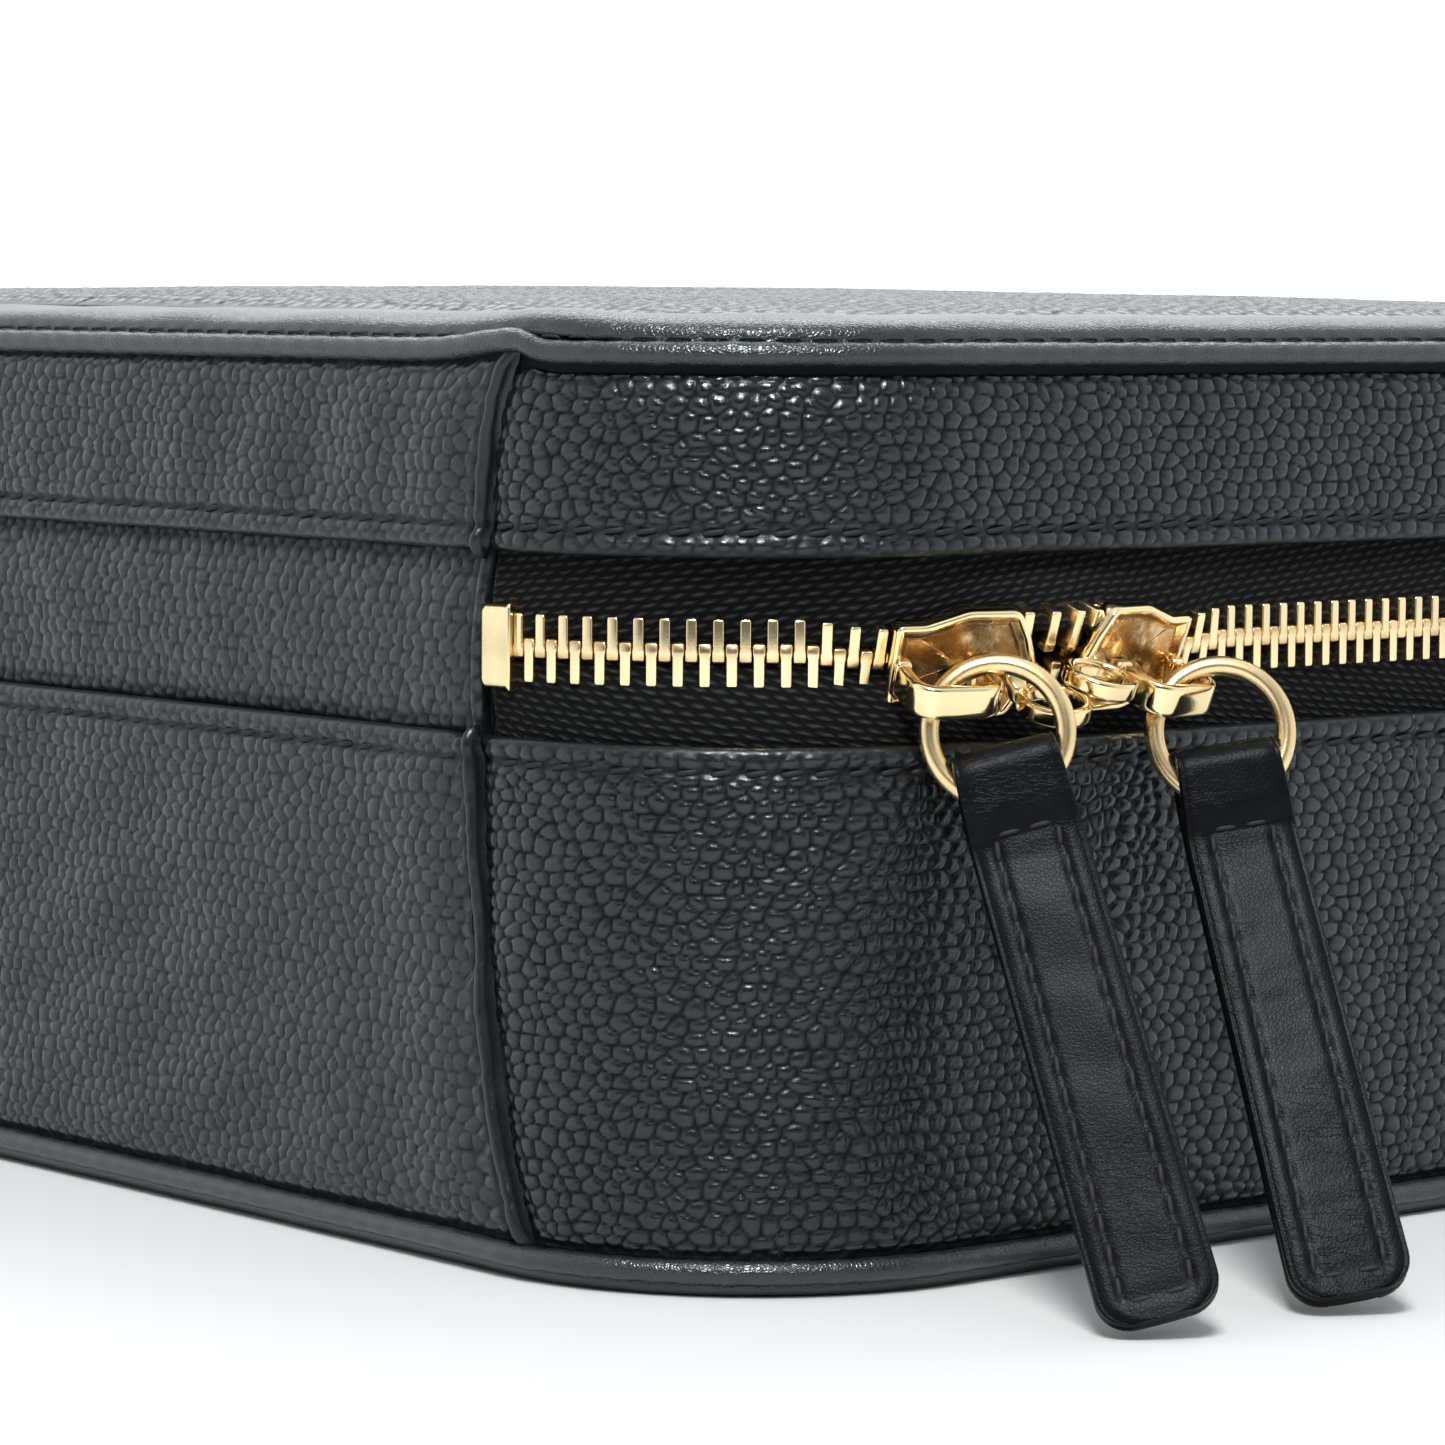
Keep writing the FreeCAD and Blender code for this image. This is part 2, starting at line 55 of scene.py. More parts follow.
SEGS = [
    (CX - SEAM, "L", (-SEAM, HD), (-1, 0), (0, 1)),
    (ARC, "A", (-CX, CY), 90.0, None),
    (2 * CY, "L", (-HW, CY), (0, -1), (-1, 0)),
    (ARC, "A", (-CX, -CY), 180.0, None),
    (2 * CX, "L", (-CX, -HD), (1, 0), (0, -1)),
    (ARC, "A", (CX, -CY), 270.0, None),
    (2 * CY, "L", (HW, -CY), (0, 1), (1, 0)),
    (ARC, "A", (CX, CY), 0.0, None),
    (CX - SEAM, "L", (CX, HD), (-1, 0), (0, 1)),
    (2 * SEAM, "L", (SEAM, HD), (-1, 0), (0, 1)),
]
LOOP = sum(g[0] for g in SEGS)
OPEN = LOOP - 2 * SEAM          # from seam to seam round the front
CORNER_B = SEGS[0][0] + ARC + 2 * CY + ARC


def outline(s):
    """point and outward normal on the wall's outer outline, s from the left seam round the front"""
    s = np.mod(np.asarray(s, float), LOOP)
    p = np.zeros(s.shape + (2,))
    n = np.zeros(s.shape + (2,))
    s0 = 0.0
    for L, kind, a, b, nn in SEGS:
        m = (s >= s0 - 1e-9) & (s <= s0 + L + 1e-9)
        d = s[m] - s0
        if kind == "L":
            p[m] = np.array(a) + d[:, None] * np.array(b)
            n[m] = nn
        else:
            w = math.radians(b) + d / CR
            q = np.stack([np.cos(w), np.sin(w)], -1)
            n[m] = q
            p[m] = np.array(a) + CR * q
        s0 += L
    return p, n


def smooth(a, b, x):
    t = np.clip((np.asarray(x, float) - a) / (b - a), 0, 1)
    return t * t * (3 - 2 * t)


def bell(x, w):
    return np.exp(-(np.asarray(x, float) / w) ** 2)


def und(u, v, seed, wl, n=7):
    """gentle random swell, about -1 to 1"""
    r = np.random.default_rng(seed)
    out = 0.0
    for _ in range(n):
        a, k = r.uniform(0, 2 * np.pi), 2 * np.pi / (wl * r.uniform(0.55, 1.7))
        out = out + np.sin(k * (u * np.cos(a) + v * np.sin(a)) + r.uniform(0, 2 * np.pi))
    return out / math.sqrt(2 * n)


def hash2(i, j, seed):
    a = np.sin(i * 127.1 + j * 311.7 + seed * 17.3) * 43758.5453
    b = np.sin(i * 269.5 + j * 183.3 + seed * 29.7) * 24634.6345
    return a - np.floor(a), b - np.floor(b)


def pebble(u, v, cu=1.75, cv=1.3, seed=1, jit=0.29):
    """pebble grain of the leather: rounded grains parted by narrow valleys, 0 to 1"""
    gu, gv = np.asarray(u, float) / cu, np.asarray(v, float) / cv
    jv = np.floor(gv)
    d1 = np.full(gu.shape, 9.0)
    d2 = np.full(gu.shape, 9.0)
    hh = np.zeros(gu.shape)
    for dj in (-2, -1, 0, 1, 2):
        j = jv + dj
        off = 0.5 * np.mod(j, 2)
        iu = np.floor(gu - off)
        for di in (-1, 0, 1):
            i = iu + di
            a, b = hash2(i, j, seed)
            d = np.hypot(gu - (i + 0.5 + off + (a - 0.5) * 2 * jit), gv - (j + 0.5 + (b - 0.5) * 2 * jit))
            near = d < d1
            d2 = np.where(near, d1, np.minimum(d2, d))
            hh = np.where(near, a * 0.6 + b * 0.4, hh)
            d1 = np.where(near, d, d1)
    e = d2 - d1
    h = 1 - np.exp(-(e / 0.18) ** 1.25)
    return h * (0.82 + 0.25 * hh) * (1.13 - 0.95 * d1 ** 2)


def add(name, verts, quads=(), tris=(), ngons=(), body=None, mat=None, attrs=None, uv=None):
    v = np.asarray(verts, np.float64).reshape(-1, 3) * MM
    q = np.asarray(quads, np.int32).reshape(-1, 4)
    t = np.asarray(tris, np.int32).reshape(-1, 3)
    parts = [q.ravel(), t.ravel()] + [np.asarray(g, np.int32) for g in ngons]
    sizes = np.concatenate([np.full(len(q), 4), np.full(len(t), 3), [len(g) for g in ngons]]).astype(np.int32)
    idx = np.concatenate(parts).astype(np.int32)
    me = bpy.data.meshes.new(name)
    me.vertices.add(len(v))
    me.vertices.foreach_set("co", v.astype(np.float32).ravel())
    me.loops.add(len(idx))
    me.loops.foreach_set("vertex_index", idx)
    me.polygons.add(len(sizes))
    me.polygons.foreach_set("loop_start", (np.cumsum(sizes) - sizes).astype(np.int32))
    me.update(calc_edges=True)
    me.polygons.foreach_set("use_smooth", np.arange(len(sizes)) < len(q) + len(t))     # end caps stay flat
    for k, a in (attrs or {}).items():
        at = me.attributes.new(k, "FLOAT", "POINT")
        at.data.foreach_set("value", np.broadcast_to(a, (len(v),)).astype(np.float32))
    if uv is not None:
        lay = me.uv_layers.new(name="UVMap")
        lay.data.foreach_set("uv", np.asarray(uv, np.float32).reshape(-1, 2)[idx].ravel())
    me.validate()
    ob = bpy.data.objects.new(name, me)
    bpy.context.scene.collection.objects.link(ob)
    if mat is not None:
        me.materials.append(mat)
    if body:
        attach(ob, body)
    return ob


def gridq(nr, nc, close_r=False, close_c=False, base=0, flip=False):
    r = np.arange(nr if close_r else nr - 1)
    c = np.arange(nc if close_c else nc - 1)
    R, C = np.meshgrid(r, c, indexing="ij")
    R2, C2 = (R + 1) % nr, (C + 1) % nc
    q = np.stack([R * nc + C, R * nc + C2, R2 * nc + C2, R2 * nc + C], -1).reshape(-1, 4) + base
    return q[:, ::-1] if flip else q


class Bag:
    """gathers several patches into one mesh"""

    def __init__(self):
        self.v, self.q, self.t, self.g, self.n = [], [], [], [], 0
        self.a = {}

    def grid(self, P, close_r=False, close_c=False, flip=False, cap0=False, cap1=False, **attrs):
        nr, nc = P.shape[:2]
        b = self.n
        self.v.append(P.reshape(-1, 3))
        self.q.append(gridq(nr, nc, close_r, close_c, b, flip))
        for cap, row in ((cap0, 0), (cap1, nr - 1)):
            if cap:
                ring = [b + row * nc + i for i in range(nc)]
                turn = (row == 0) != flip
                self.g.append(ring[::-1] if turn else ring)
        for k in set(self.a) | set(attrs):
            self.a.setdefault(k, [np.zeros(self.n)])
            x = attrs.get(k, 0.0)
            self.a[k].append(np.broadcast_to(np.asarray(x, float).reshape(-1) if np.ndim(x) else x, (nr * nc,)))
        self.n += nr * nc
        return self

    def make(self, name, body=None, mat=None):
        return add(name, np.concatenate(self.v), np.concatenate(self.q), ngons=self.g, body=body, mat=mat, attrs={k: np.concatenate(x) for k, x in self.a.items()})


# ---------------------------------------------------------------------------
# materials
# ---------------------------------------------------------------------------
def shader(name):
    m = bpy.data.materials.new(name)
    m.use_nodes = True
    nt = m.node_tree
    b = nt.nodes["Principled BSDF"]
    return m, nt, b


def node(nt, kind, inputs=None, **props):
    n = nt.nodes.new(kind)
    for k, v in props.items():
        setattr(n, k, v)
    for k, v in (inputs or {}).items():
        if hasattr(v, "is_output"):
            nt.links.new(v, n.inputs[k])
        else:
            n.inputs[k].default_value = v
    return n


def math_(nt, op, a, b=0.0, c=None):
    n = nt.nodes.new("ShaderNodeMath")
    n.operation = op
    for i, x in enumerate((a, b) if c is None else (a, b, c)):
        if hasattr(x, "is_output"):
            nt.links.new(x, n.inputs[i])
        else:
            n.inputs[i].default_value = x
    return n.outputs[0]


def mixc(nt, f, a, b):
    n = nt.nodes.new("ShaderNodeMix")
    n.data_type = "RGBA"
    for i, x in ((0, f), (6, a), (7, b)):
        if hasattr(x, "is_output"):
            nt.links.new(x, n.inputs[i])
        else:
            n.inputs[i].default_value = x
    return n.outputs[2]


def ramp(nt, f, stops):
    n = nt.nodes.new("ShaderNodeValToRGB")
    nt.links.new(f, n.inputs[0])
    e = n.color_ramp.elements
    while len(e) < len(stops):
        e.new(0.5)
    for el, (p, v) in zip(e, stops):
        el.position = p
        el.color = (v, v, v, 1)
    return n.outputs[0]


def noise(nt, co, scale, detail=3.0, rough=0.55):
    return node(nt, "ShaderNodeTexNoise", {"Vector": co, "Scale": scale, "Detail": detail, "Roughness": rough}).outputs[0]


def leather(name, deep, face, r0, r1, fine, depth, use_grain=True, pores=0.0, spec=0.38, crackle=0.0):
    m, nt, b = shader(name)
    co = node(nt, "ShaderNodeTexCoord").outputs["Object"]
    big = noise(nt, co, 55.0, 3.0)
    mid = noise(nt, co, 420.0, 3.0)
    small = noise(nt, co, fine, 4.0, 0.6)
    if use_grain:
        # the grain attribute holds the pebble grain and also painted shade in stitch grooves, beside the seams and at
        # the hinge strip's edges; it drives colour, roughness and specular level
        g = node(nt, "ShaderNodeAttribute", attribute_name="grain").outputs["Fac"]
    else:
        g = ramp(nt, mid, [(0.3, 0.2), (0.7, 1.0)])
    col = mixc(nt, g, deep + (1,), face + (1,))
    worn = tuple(min(1, c * 1.5) for c in face) + (1,)
    col = mixc(nt, math_(nt, "MULTIPLY", ramp(nt, big, [(0.45, 0.0), (0.75, 1.0)]), 0.5), col, worn)
    nt.links.new(col, b.inputs["Base Color"])
    rg = math_(nt, "MULTIPLY_ADD", g, r1 - r0, r0)
    rg = math_(nt, "ADD", rg, math_(nt, "MULTIPLY", math_(nt, "SUBTRACT", mid, 0.5), 0.22))
    rg = math_(nt, "ADD", rg, math_(nt, "MULTIPLY", math_(nt, "SUBTRACT", big, 0.5), 0.12))
    nt.links.new(rg, b.inputs["Roughness"])
    h = small
    if pores:
        vo = node(nt, "ShaderNodeTexVoronoi", {"Vector": co, "Scale": pores}, feature="DISTANCE_TO_EDGE").outputs["Distance"]
        h = math_(nt, "ADD", math_(nt, "MULTIPLY", small, 0.6), ramp(nt, vo, [(0.0, 0.0), (0.22, 0.7)]))
    bump = node(nt, "ShaderNodeBump", {"Height": h, "Distance": depth, "Strength": 1.0})
    if crackle:
        st = node(nt, "ShaderNodeMapping", {"Vector": co, "Scale": (crackle, crackle, crackle * 3.2)}).outputs[0]
        fold = math_(nt, "ABSOLUTE", math_(nt, "SUBTRACT", noise(nt, st, 1.0, 3.0, 0.6), 0.5))
        ln = math_(nt, "MULTIPLY", math_(nt, "SUBTRACT", 1.0, ramp(nt, fold, [(0.0, 0.0), (0.05, 1.0)])), ramp(nt, noise(nt, co, 110.0, 2.0), [(0.40, 0.0), (0.62, 1.0)]))
        bump = node(nt, "ShaderNodeBump", {"Height": ln, "Distance": 0.000022, "Strength": 1.0, "Normal": bump.outputs[0]}, invert=True)
    nt.links.new(bump.outputs[0], b.inputs["Normal"])
    b.inputs["Specular IOR Level"].default_value = spec
    if use_grain:
        nt.links.new(math_(nt, "MULTIPLY_ADD", ramp(nt, g, [(0.15, 0.0), (0.80, 1.0)]), spec * 0.94, spec * 0.22), b.inputs["Specular IOR Level"])
    b.inputs["Specular Tint"].default_value = (0.90, 0.97, 1.0, 1)
    return m


def gold(name, rough, colour=(0.83, 0.62, 0.34), patina=True, bumpy=0.0):
    m, nt, b = shader(name)
    co = node(nt, "ShaderNodeTexCoord").outputs["Object"]
    n1 = noise(nt, co, 700.0, 4.0, 0.65)
    n2 = noise(nt, co, 5200.0, 2.0)
    n3 = noise(nt, co, 160.0, 2.0)
    col = mixc(nt, ramp(nt, n3, [(0.35, 0.0), (0.7, 1.0)]), tuple(c * 0.93 for c in colour) + (1,), tuple(min(1, c * 1.05) for c in colour) + (1,))
    rg = math_(nt, "MULTIPLY_ADD", n1, 0.14, rough - 0.07)
    if patina:
        a = node(nt, "ShaderNodeAttribute", attribute_name="patina").outputs["Fac"]
        sp = math_(nt, "MULTIPLY", a, ramp(nt, n1, [(0.28, 0.30), (0.55, 1.0)]))
        col = mixc(nt, sp, col, mixc(nt, ramp(nt, n3, [(0.40, 0.0), (0.62, 1.0)]), (0.20, 0.095, 0.028, 1), (0.50, 0.25, 0.07, 1)))
        rg = math_(nt, "MULTIPLY_ADD", sp, 0.18, rg)
    nt.links.new(col, b.inputs["Base Color"])
    nt.links.new(rg, b.inputs["Roughness"])
    bump = node(nt, "ShaderNodeBump", {"Height": n2, "Distance": 0.000004 + bumpy, "Strength": 1.0})
    nt.links.new(bump.outputs[0], b.inputs["Normal"])
    b.inputs["Metallic"].default_value = 1.0
    return m


def cloth(name, dark, light, pitch, depth, sheen, rough=0.85, twill=True):
    """woven or napped cloth; UV in millimetres"""
    m, nt, b = shader(name)
    tc = node(nt, "ShaderNodeTexCoord")
    co = tc.outputs["Object"]
    fuzz = noise(nt, co, 2600.0, 3.0, 0.7)
    big = noise(nt, co, 120.0, 2.0)
    if twill:
        uv = tc.outputs["UV"]
        wob = node(nt, "ShaderNodeTexNoise", {"Vector": uv, "Scale": 0.9, "Detail": 3.0}).outputs[1]
        uw = node(nt, "ShaderNodeVectorMath", {0: uv, 1: node(nt, "ShaderNodeVectorMath", {0: wob, 1: (0.36, 0.36, 0.0)}, operation="MULTIPLY").outputs[0]}, operation="ADD")
        sp = node(nt, "ShaderNodeSeparateXYZ", {0: uw.outputs[0]})
        rows = math_(nt, "SINE", math_(nt, "MULTIPLY_ADD", sp.outputs[0], 0.85, math_(nt, "MULTIPLY", sp.outputs[1], 2 * math.pi / (pitch * 1.02))))
        cols = math_(nt, "SINE", math_(nt, "MULTIPLY_ADD", sp.outputs[0], 2 * math.pi / (pitch * 2.2), math_(nt, "MULTIPLY", sp.outputs[1], 4.6)))
        dash = math_(nt, "MULTIPLY", math_(nt, "POWER", math_(nt, "MULTIPLY_ADD", rows, 0.499, 0.5), 1.4), math_(nt, "POWER", math_(nt, "MULTIPLY_ADD", cols, 0.499, 0.5), 0.75))
        ply = node(nt, "ShaderNodeTexNoise", {"Vector": node(nt, "ShaderNodeMapping", {"Vector": uw.outputs[0], "Scale": (1.0, 5.0, 1.0)}).outputs[0], "Scale": 1.6, "Detail": 2.0}).outputs[0]
        h = math_(nt, "MULTIPLY", dash, math_(nt, "MULTIPLY_ADD", ply, 0.9, 0.35))
        h = math_(nt, "ADD", h, math_(nt, "MULTIPLY", fuzz, 0.12))
        f = math_(nt, "POWER", h, 1.6)
    else:
        h = fuzz
        f = math_(nt, "ADD", math_(nt, "MULTIPLY", fuzz, 0.5), math_(nt, "MULTIPLY", big, 0.5))
    nt.links.new(mixc(nt, f, dark + (1,), light + (1,)), b.inputs["Base Color"])
    nt.links.new(math_(nt, "MULTIPLY_ADD", fuzz, 0.2, rough - 0.1), b.inputs["Roughness"])
    bump = node(nt, "ShaderNodeBump", {"Height": h, "Distance": depth, "Strength": 1.0})
    nt.links.new(bump.outputs[0], b.inputs["Normal"])
    b.inputs["Sheen Weight"].default_value = sheen
    b.inputs["Sheen Roughness"].default_value = 0.45
    b.inputs["Specular IOR Level"].default_value = 0.09
    return m


def board_mat():
    m, nt, b = shader("board")
    co = node(nt, "ShaderNodeTexCoord").outputs["Object"]
    f = noise(nt, co, 800.0, 5.0, 0.7)
    nt.links.new(mixc(nt, f, (0.30, 0.24, 0.17, 1), (0.50, 0.42, 0.32, 1)), b.inputs["Base Color"])
    nt.links.new(math_(nt, "MULTIPLY_ADD", f, 0.2, 0.72), b.inputs["Roughness"])
    bump = node(nt, "ShaderNodeBump", {"Height": f, "Distance": 0.00008, "Strength": 1.0})
    nt.links.new(bump.outputs[0], b.inputs["Normal"])
    return m


def thread_mat():
    m, nt, b = shader("thread")
    co = node(nt, "ShaderNodeTexCoord").outputs["Object"]
    f = noise(nt, co, 3500.0, 3.0, 0.7)
    nt.links.new(mixc(nt, f, (0.003, 0.003, 0.004, 1), (0.010, 0.010, 0.012, 1)), b.inputs["Base Color"])
    nt.links.new(math_(nt, "MULTIPLY_ADD", f, 0.25, 0.50), b.inputs["Roughness"])
    bump = node(nt, "ShaderNodeBump", {"Height": f, "Distance": 0.00005, "Strength": 1.0})
    nt.links.new(bump.outputs[0], b.inputs["Normal"])
    b.inputs["Specular IOR Level"].default_value = 0.3
    return m


GRAIN = leather("grain_leather", (0.0016, 0.0019, 0.0023), (0.0052, 0.0061, 0.0074), 0.56, 0.175, 2300.0, 0.000034, spec=0.44)
SMOOTH = leather("smooth_leather", (0.006, 0.0065, 0.0075), (0.012, 0.013, 0.015), 0.33, 0.21, 1800.0, 0.000034, use_grain=False, pores=2800.0, spec=0.64)
PULL = leather("pull_leather", (0.0012, 0.0013, 0.0016), (0.0032, 0.0035, 0.0042), 0.44, 0.33, 1500.0, 0.000013, use_grain=False, pores=2600.0, spec=0.085, crackle=420.0)
THREAD = thread_mat()
POLISHED = gold("gold_polished", 0.11, (0.94, 0.75, 0.43))
SATIN = gold("gold_satin", 0.25, (0.87, 0.66, 0.36))
TEETH = gold("gold_teeth", 0.20, (0.94, 0.76, 0.45), patina=True)
TAPE = cloth("zip_tape", (0.0004, 0.0004, 0.0005), (0.030, 0.0345, 0.036), 0.68, 0.00024, 0.02)
LINING = cloth("lining", (0.020, 0.020, 0.024), (0.05, 0.05, 0.056), 0.5, 0.00006, 0.6, 0.9, twill=False)
BOARD = board_mat()
for n in ("base_floor_board", "base_wall_board", "lid_wall_board", "lid_top_board", "pull_left_filler", "pull_right_filler", "lid_foam"):
    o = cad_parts[n]
    o.data.materials.clear()
    o.data.materials.append(BOARD)


# ---------------------------------------------------------------------------
# leather walls
# ---------------------------------------------------------------------------
def seam_s(z):
    """where the upright seam runs, as a distance along the outline"""
    return np.interp(z, [0, 4.2, 10.5, 17.3, 24, 31, 36.3, 41.5, 46.7, 51, 57.2, 62.4, 65, 69.4, 73.7, 77.2, 80.5],
                     [7.0, 6.0, 3.9, 2.2, 1.05, 0.3, -0.15, -0.6, -0.9, -0.8, -0.4, 0.15, 0.4, 0.7, 1.5, 2.75, 4.5])


def steps(a, b, d):
    return np.linspace(a, b, max(2, int(round(abs(b - a) / d)) + 1))


def wall_profile(z0, z1, dz, fold_top=True, t=1.45):
    """closed section of a wall: outer face up, folded edge, inner face down.  Rows: out, z"""
    f = 0.78
    o = [(0.0, z) for z in steps(z0 + 0.55, z1 - f, dz)]
    a = np.linspace(0, math.pi, 11)[1:]
    o += [(-0.73 + 0.73 * math.cos(w), z1 - f + f * math.sin(w)) for w in a]
    o += [(-t, z) for z in (z1 - 1.6, z1 - 3.0, z1 - 3.2)]
    o += [(-t + 0.3, z1 - 3.3), (-t + 0.3, (z0 + z1) / 2), (-t + 0.3, z0 + 0.6)]
    o += [(-t + 0.3, z0 - 0.85), (-1.0, z0 - 0.95), (-0.5, z0 - 0.5), (-0.15, z0 + 0.05)]
    o = np.array(o)
    if not fold_top:
        o = np.stack([o[:, 0], z0 + z1 - o[:, 1]], -1)[::-1]
    return o


def section_normals(o):
    d = np.roll(o, -1, 0) - np.roll(o, 1, 0)
    n = np.stack([d[:, 1], -d[:, 0]], -1)
    return n / np.maximum(np.linalg.norm(n, axis=1, keepdims=True), 1e-9)


def seam_bump(s, at=4.2, back=7.5, front=2.4):
    """the layers of leather at the seams lift the piping and border a little"""
    out = 0.0
    for d in (np.mod(s + LOOP / 2, LOOP) - LOOP / 2 - at, OPEN - at - np.mod(s, LOOP)):
        out = out + np.where(d < 0, bell(d, back), bell(d, front))
    return out


def wall(name, body, S, z0, z1, dz, fold_top, left_end, right_end, seed, panel=False, lift=0.0, swell=0.0, depth=0.27, grain=(1.78, 1.32), turn_in=0.75, soft=0.0, node_name=None):
    """wall along the outline; S is the distance from the left seam (negative along the back)"""
    o = wall_profile(z0, z1, dz, fold_top)
    nn = section_normals(o)
    nr, nc = len(o), len(S)
    z = o[:, 1][:, None]
    s = np.broadcast_to(S[None, :], (nr, nc)).copy()
    sh = seam_s(o[:, 1])[:, None]
    if left_end:
        s = s + sh * (np.clip(1 + S / 25, 0, 1) if panel else np.clip(1 - S / 25, 0, 1))[None, :]
    if right_end:
        e = S + 2 * SEAM if panel else S - OPEN
        s = s - sh * (np.clip(1 - e / 25, 0, 1) if panel else np.clip(1 + e / 25, 0, 1))[None, :]
    outer = ((np.arange(nr) < nr)[:, None]) & (o[:, 0] > -0.75)[:, None]
    outer = np.broadcast_to(outer, (nr, nc)).astype(float)
    edge = (z1 - z) if fold_top else (z - z0)
    far = (z - z0) if fold_top else (z1 - z)
    tt = np.cumsum(np.r_[0, np.linalg.norm(np.diff(o, axis=0), axis=1)])[:, None]
    warp = 0.35 * und(s, z, seed + 50, 9.0)
    g = pebble(s + warp, tt + z0 + 0.3 * und(s, z, seed + 60, 7.0), grain[0], grain[1], seed)
    mask = smooth(-0.2, 1.5, edge) * (1 - 0.75 * bell(edge - 2.15, 0.55)) * smooth(-0.6, 0.3, far)
    mask = np.broadcast_to(mask, (nr, nc))
    d = depth * (g - 0.75) * mask
    d = d + 0.16 * und(s, z, seed + 1, 26.0) * smooth(0, 5, edge) * smooth(0, 4, far)
    d = d - (0.30 + 0.10 * np.cos(2 * np.pi * s / 3.0)) * bell(edge - 2.15, 0.42)
    d = d + 0.20 * bell(edge - 0.95, 0.75) + 0.05 * und(s, z, seed + 2, 6.0) * bell(edge - 0.9, 0.9)
    d = d - 0.12 * bell(far, 0.6) - turn_in * np.clip(1 - far / 4.2, 0, 1) ** 2
    d = d + swell * np.sin(np.pi * np.clip((z - z0) / (z1 - z0), 0, 1))
    end = []
    if left_end:
        end.append(-(S) if panel else S)
    if right_end:
        end.append(S + 2 * SEAM if panel else OPEN - S)
    for e in end:
        e = e[None, :]
        if panel:
            # turned edge that stands up along the seam, with a stitched groove beside it
            wob = 0.12 * und(z, z * 0, seed + 3, 9.0)
            x = e - 0.66 + wob
            ridge = np.sqrt(np.clip(1 - (x / 0.74) ** 2, 0, 1))
            d = d + (0.74 + 0.05 * und(z, z * 0, seed + 4, 1.6)) * ridge + 0.12 * bell(e - 2.4, 0.6)
            d = d - (0.30 + 0.20 * np.cos(2 * np.pi * z / 3.1)) * bell(e - 1.7 + wob, 0.40)
            d = d - 0.40 * np.abs(und(z + 0.5 * e, e * 0.3, seed + 6, 2.6)) * bell(e - 2.4, 1.1)
            d = d + (0.34 * bell(e - 7.5, 4.2) - 0.16 * bell(e - 2.8, 1.6) + 0.14 * und(s, z, seed + 7, 17.0)) * smooth(0, 5, edge) * smooth(0, 4, far)
            mask = mask * smooth(1.5, 3.0, e)
            d = d - depth * (g - 0.75) * (1 - smooth(1.5, 3.0, e)) * smooth(-0.2, 1.5, edge)
            d = d - 1.35 * smooth(0.10, 0.0, e)
        else:
            d = d - 0.75 * bell(e, 1.1) - 0.25 * bell(e - 0.4, 2.4)
    d = d * outer + lift
    p, n = outline(s)
    P = np.zeros((nr, nc, 3))
    out = o[:, 0][:, None] + d * nn[:, 0][:, None]
    P[..., :2] = p + n * out[..., None]
    P[..., 2] = z + (d - lift) * nn[:, 1][:, None]
    if not fold_top:
        P[..., 2] += 0.8 * seam_bump(s) * np.clip(1 - far / 7.0, 0, 1) ** 1.5
    # grain attribute: pebble grain, plus painted shade that lowers it, and so darkens it, in the stitch groove along
    # the folded edge
    grain_and_seam_shade = np.clip(soft + (1 - soft) * (g * mask + (1 - mask) * 0.55), 0, 1) * (1 - 0.45 * bell(edge - 2.15, 0.40)) * outer
    # painted shade: darker in the stitched groove beside the seam ridge on panels and in the gap beside the seam on
    # gussets
    for e in end:
        grain_and_seam_shade = grain_and_seam_shade * (1 - (0.55 * bell(e - 1.75, 0.45) if panel else 0.6 * bell(e, 1.0)))[None, :]
    q = gridq(nr, nc, close_r=True)
    caps = [[r * nc for r in range(nr)], [r * nc + nc - 1 for r in range(nr)][::-1]]
    ob = add(name, P, q, ngons=caps, body=body, mat=GRAIN, attrs={"grain": grain_and_seam_shade.ravel()})
    if node_name:
        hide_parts(node_name)
    return ob


NEAR, MID, FAR = 0.25, 0.32, 0.4
HALF, TURN = 104.0, CORNER_B + 190.0
for nm, S_, dz_, l_, r_ in (("corner", steps(0, HALF, NEAR), NEAR, True, False), ("side", steps(HALF, CORNER_B, MID), MID, False, False), ("front", steps(CORNER_B, TURN, FAR), 0.4, False, False), ("far_side", steps(TURN, OPEN, FAR), 0.4, False, True)):
    wall("base_gusset_" + nm, "base", S_, 3.4, 47.2, dz_, True, l_, r_, 11, turn_in=0.6, depth=0.31, node_name="base_gusset")
for nm, S_, dz_, l_, r_ in (("corner", steps(0, CORNER_B, NEAR), NEAR, True, False), ("front", steps(CORNER_B, OPEN, FAR), 0.38, False, True)):
    wall("lid_gusset_" + nm, "lid", S_, 63.3, 79.4, dz_, False, l_, r_, 12, turn_in=1.12, depth=0.31, node_name="lid_gusset")
BACK = np.r_[-2 * SEAM, -2 * SEAM + 0.06, steps(-2 * SEAM + 0.25, -90, 0.42), steps(-89.7, -0.25, 0.29), -0.06, 0.0]
wall("base_back_panel", "base", BACK, 3.4, 47.2, 0.32, True, True, True, 13, panel=True, depth=0.23, grain=(1.72, 1.42), soft=0.24, turn_in=0.45, node_name="base_back_panel")
wall("lid_back_panel", "lid", BACK, 63.3, 79.4, 0.30, False, True, True, 14, panel=True, depth=0.23, grain=(1.72, 1.42), soft=0.24, turn_in=0.45, node_name="lid_back_panel")


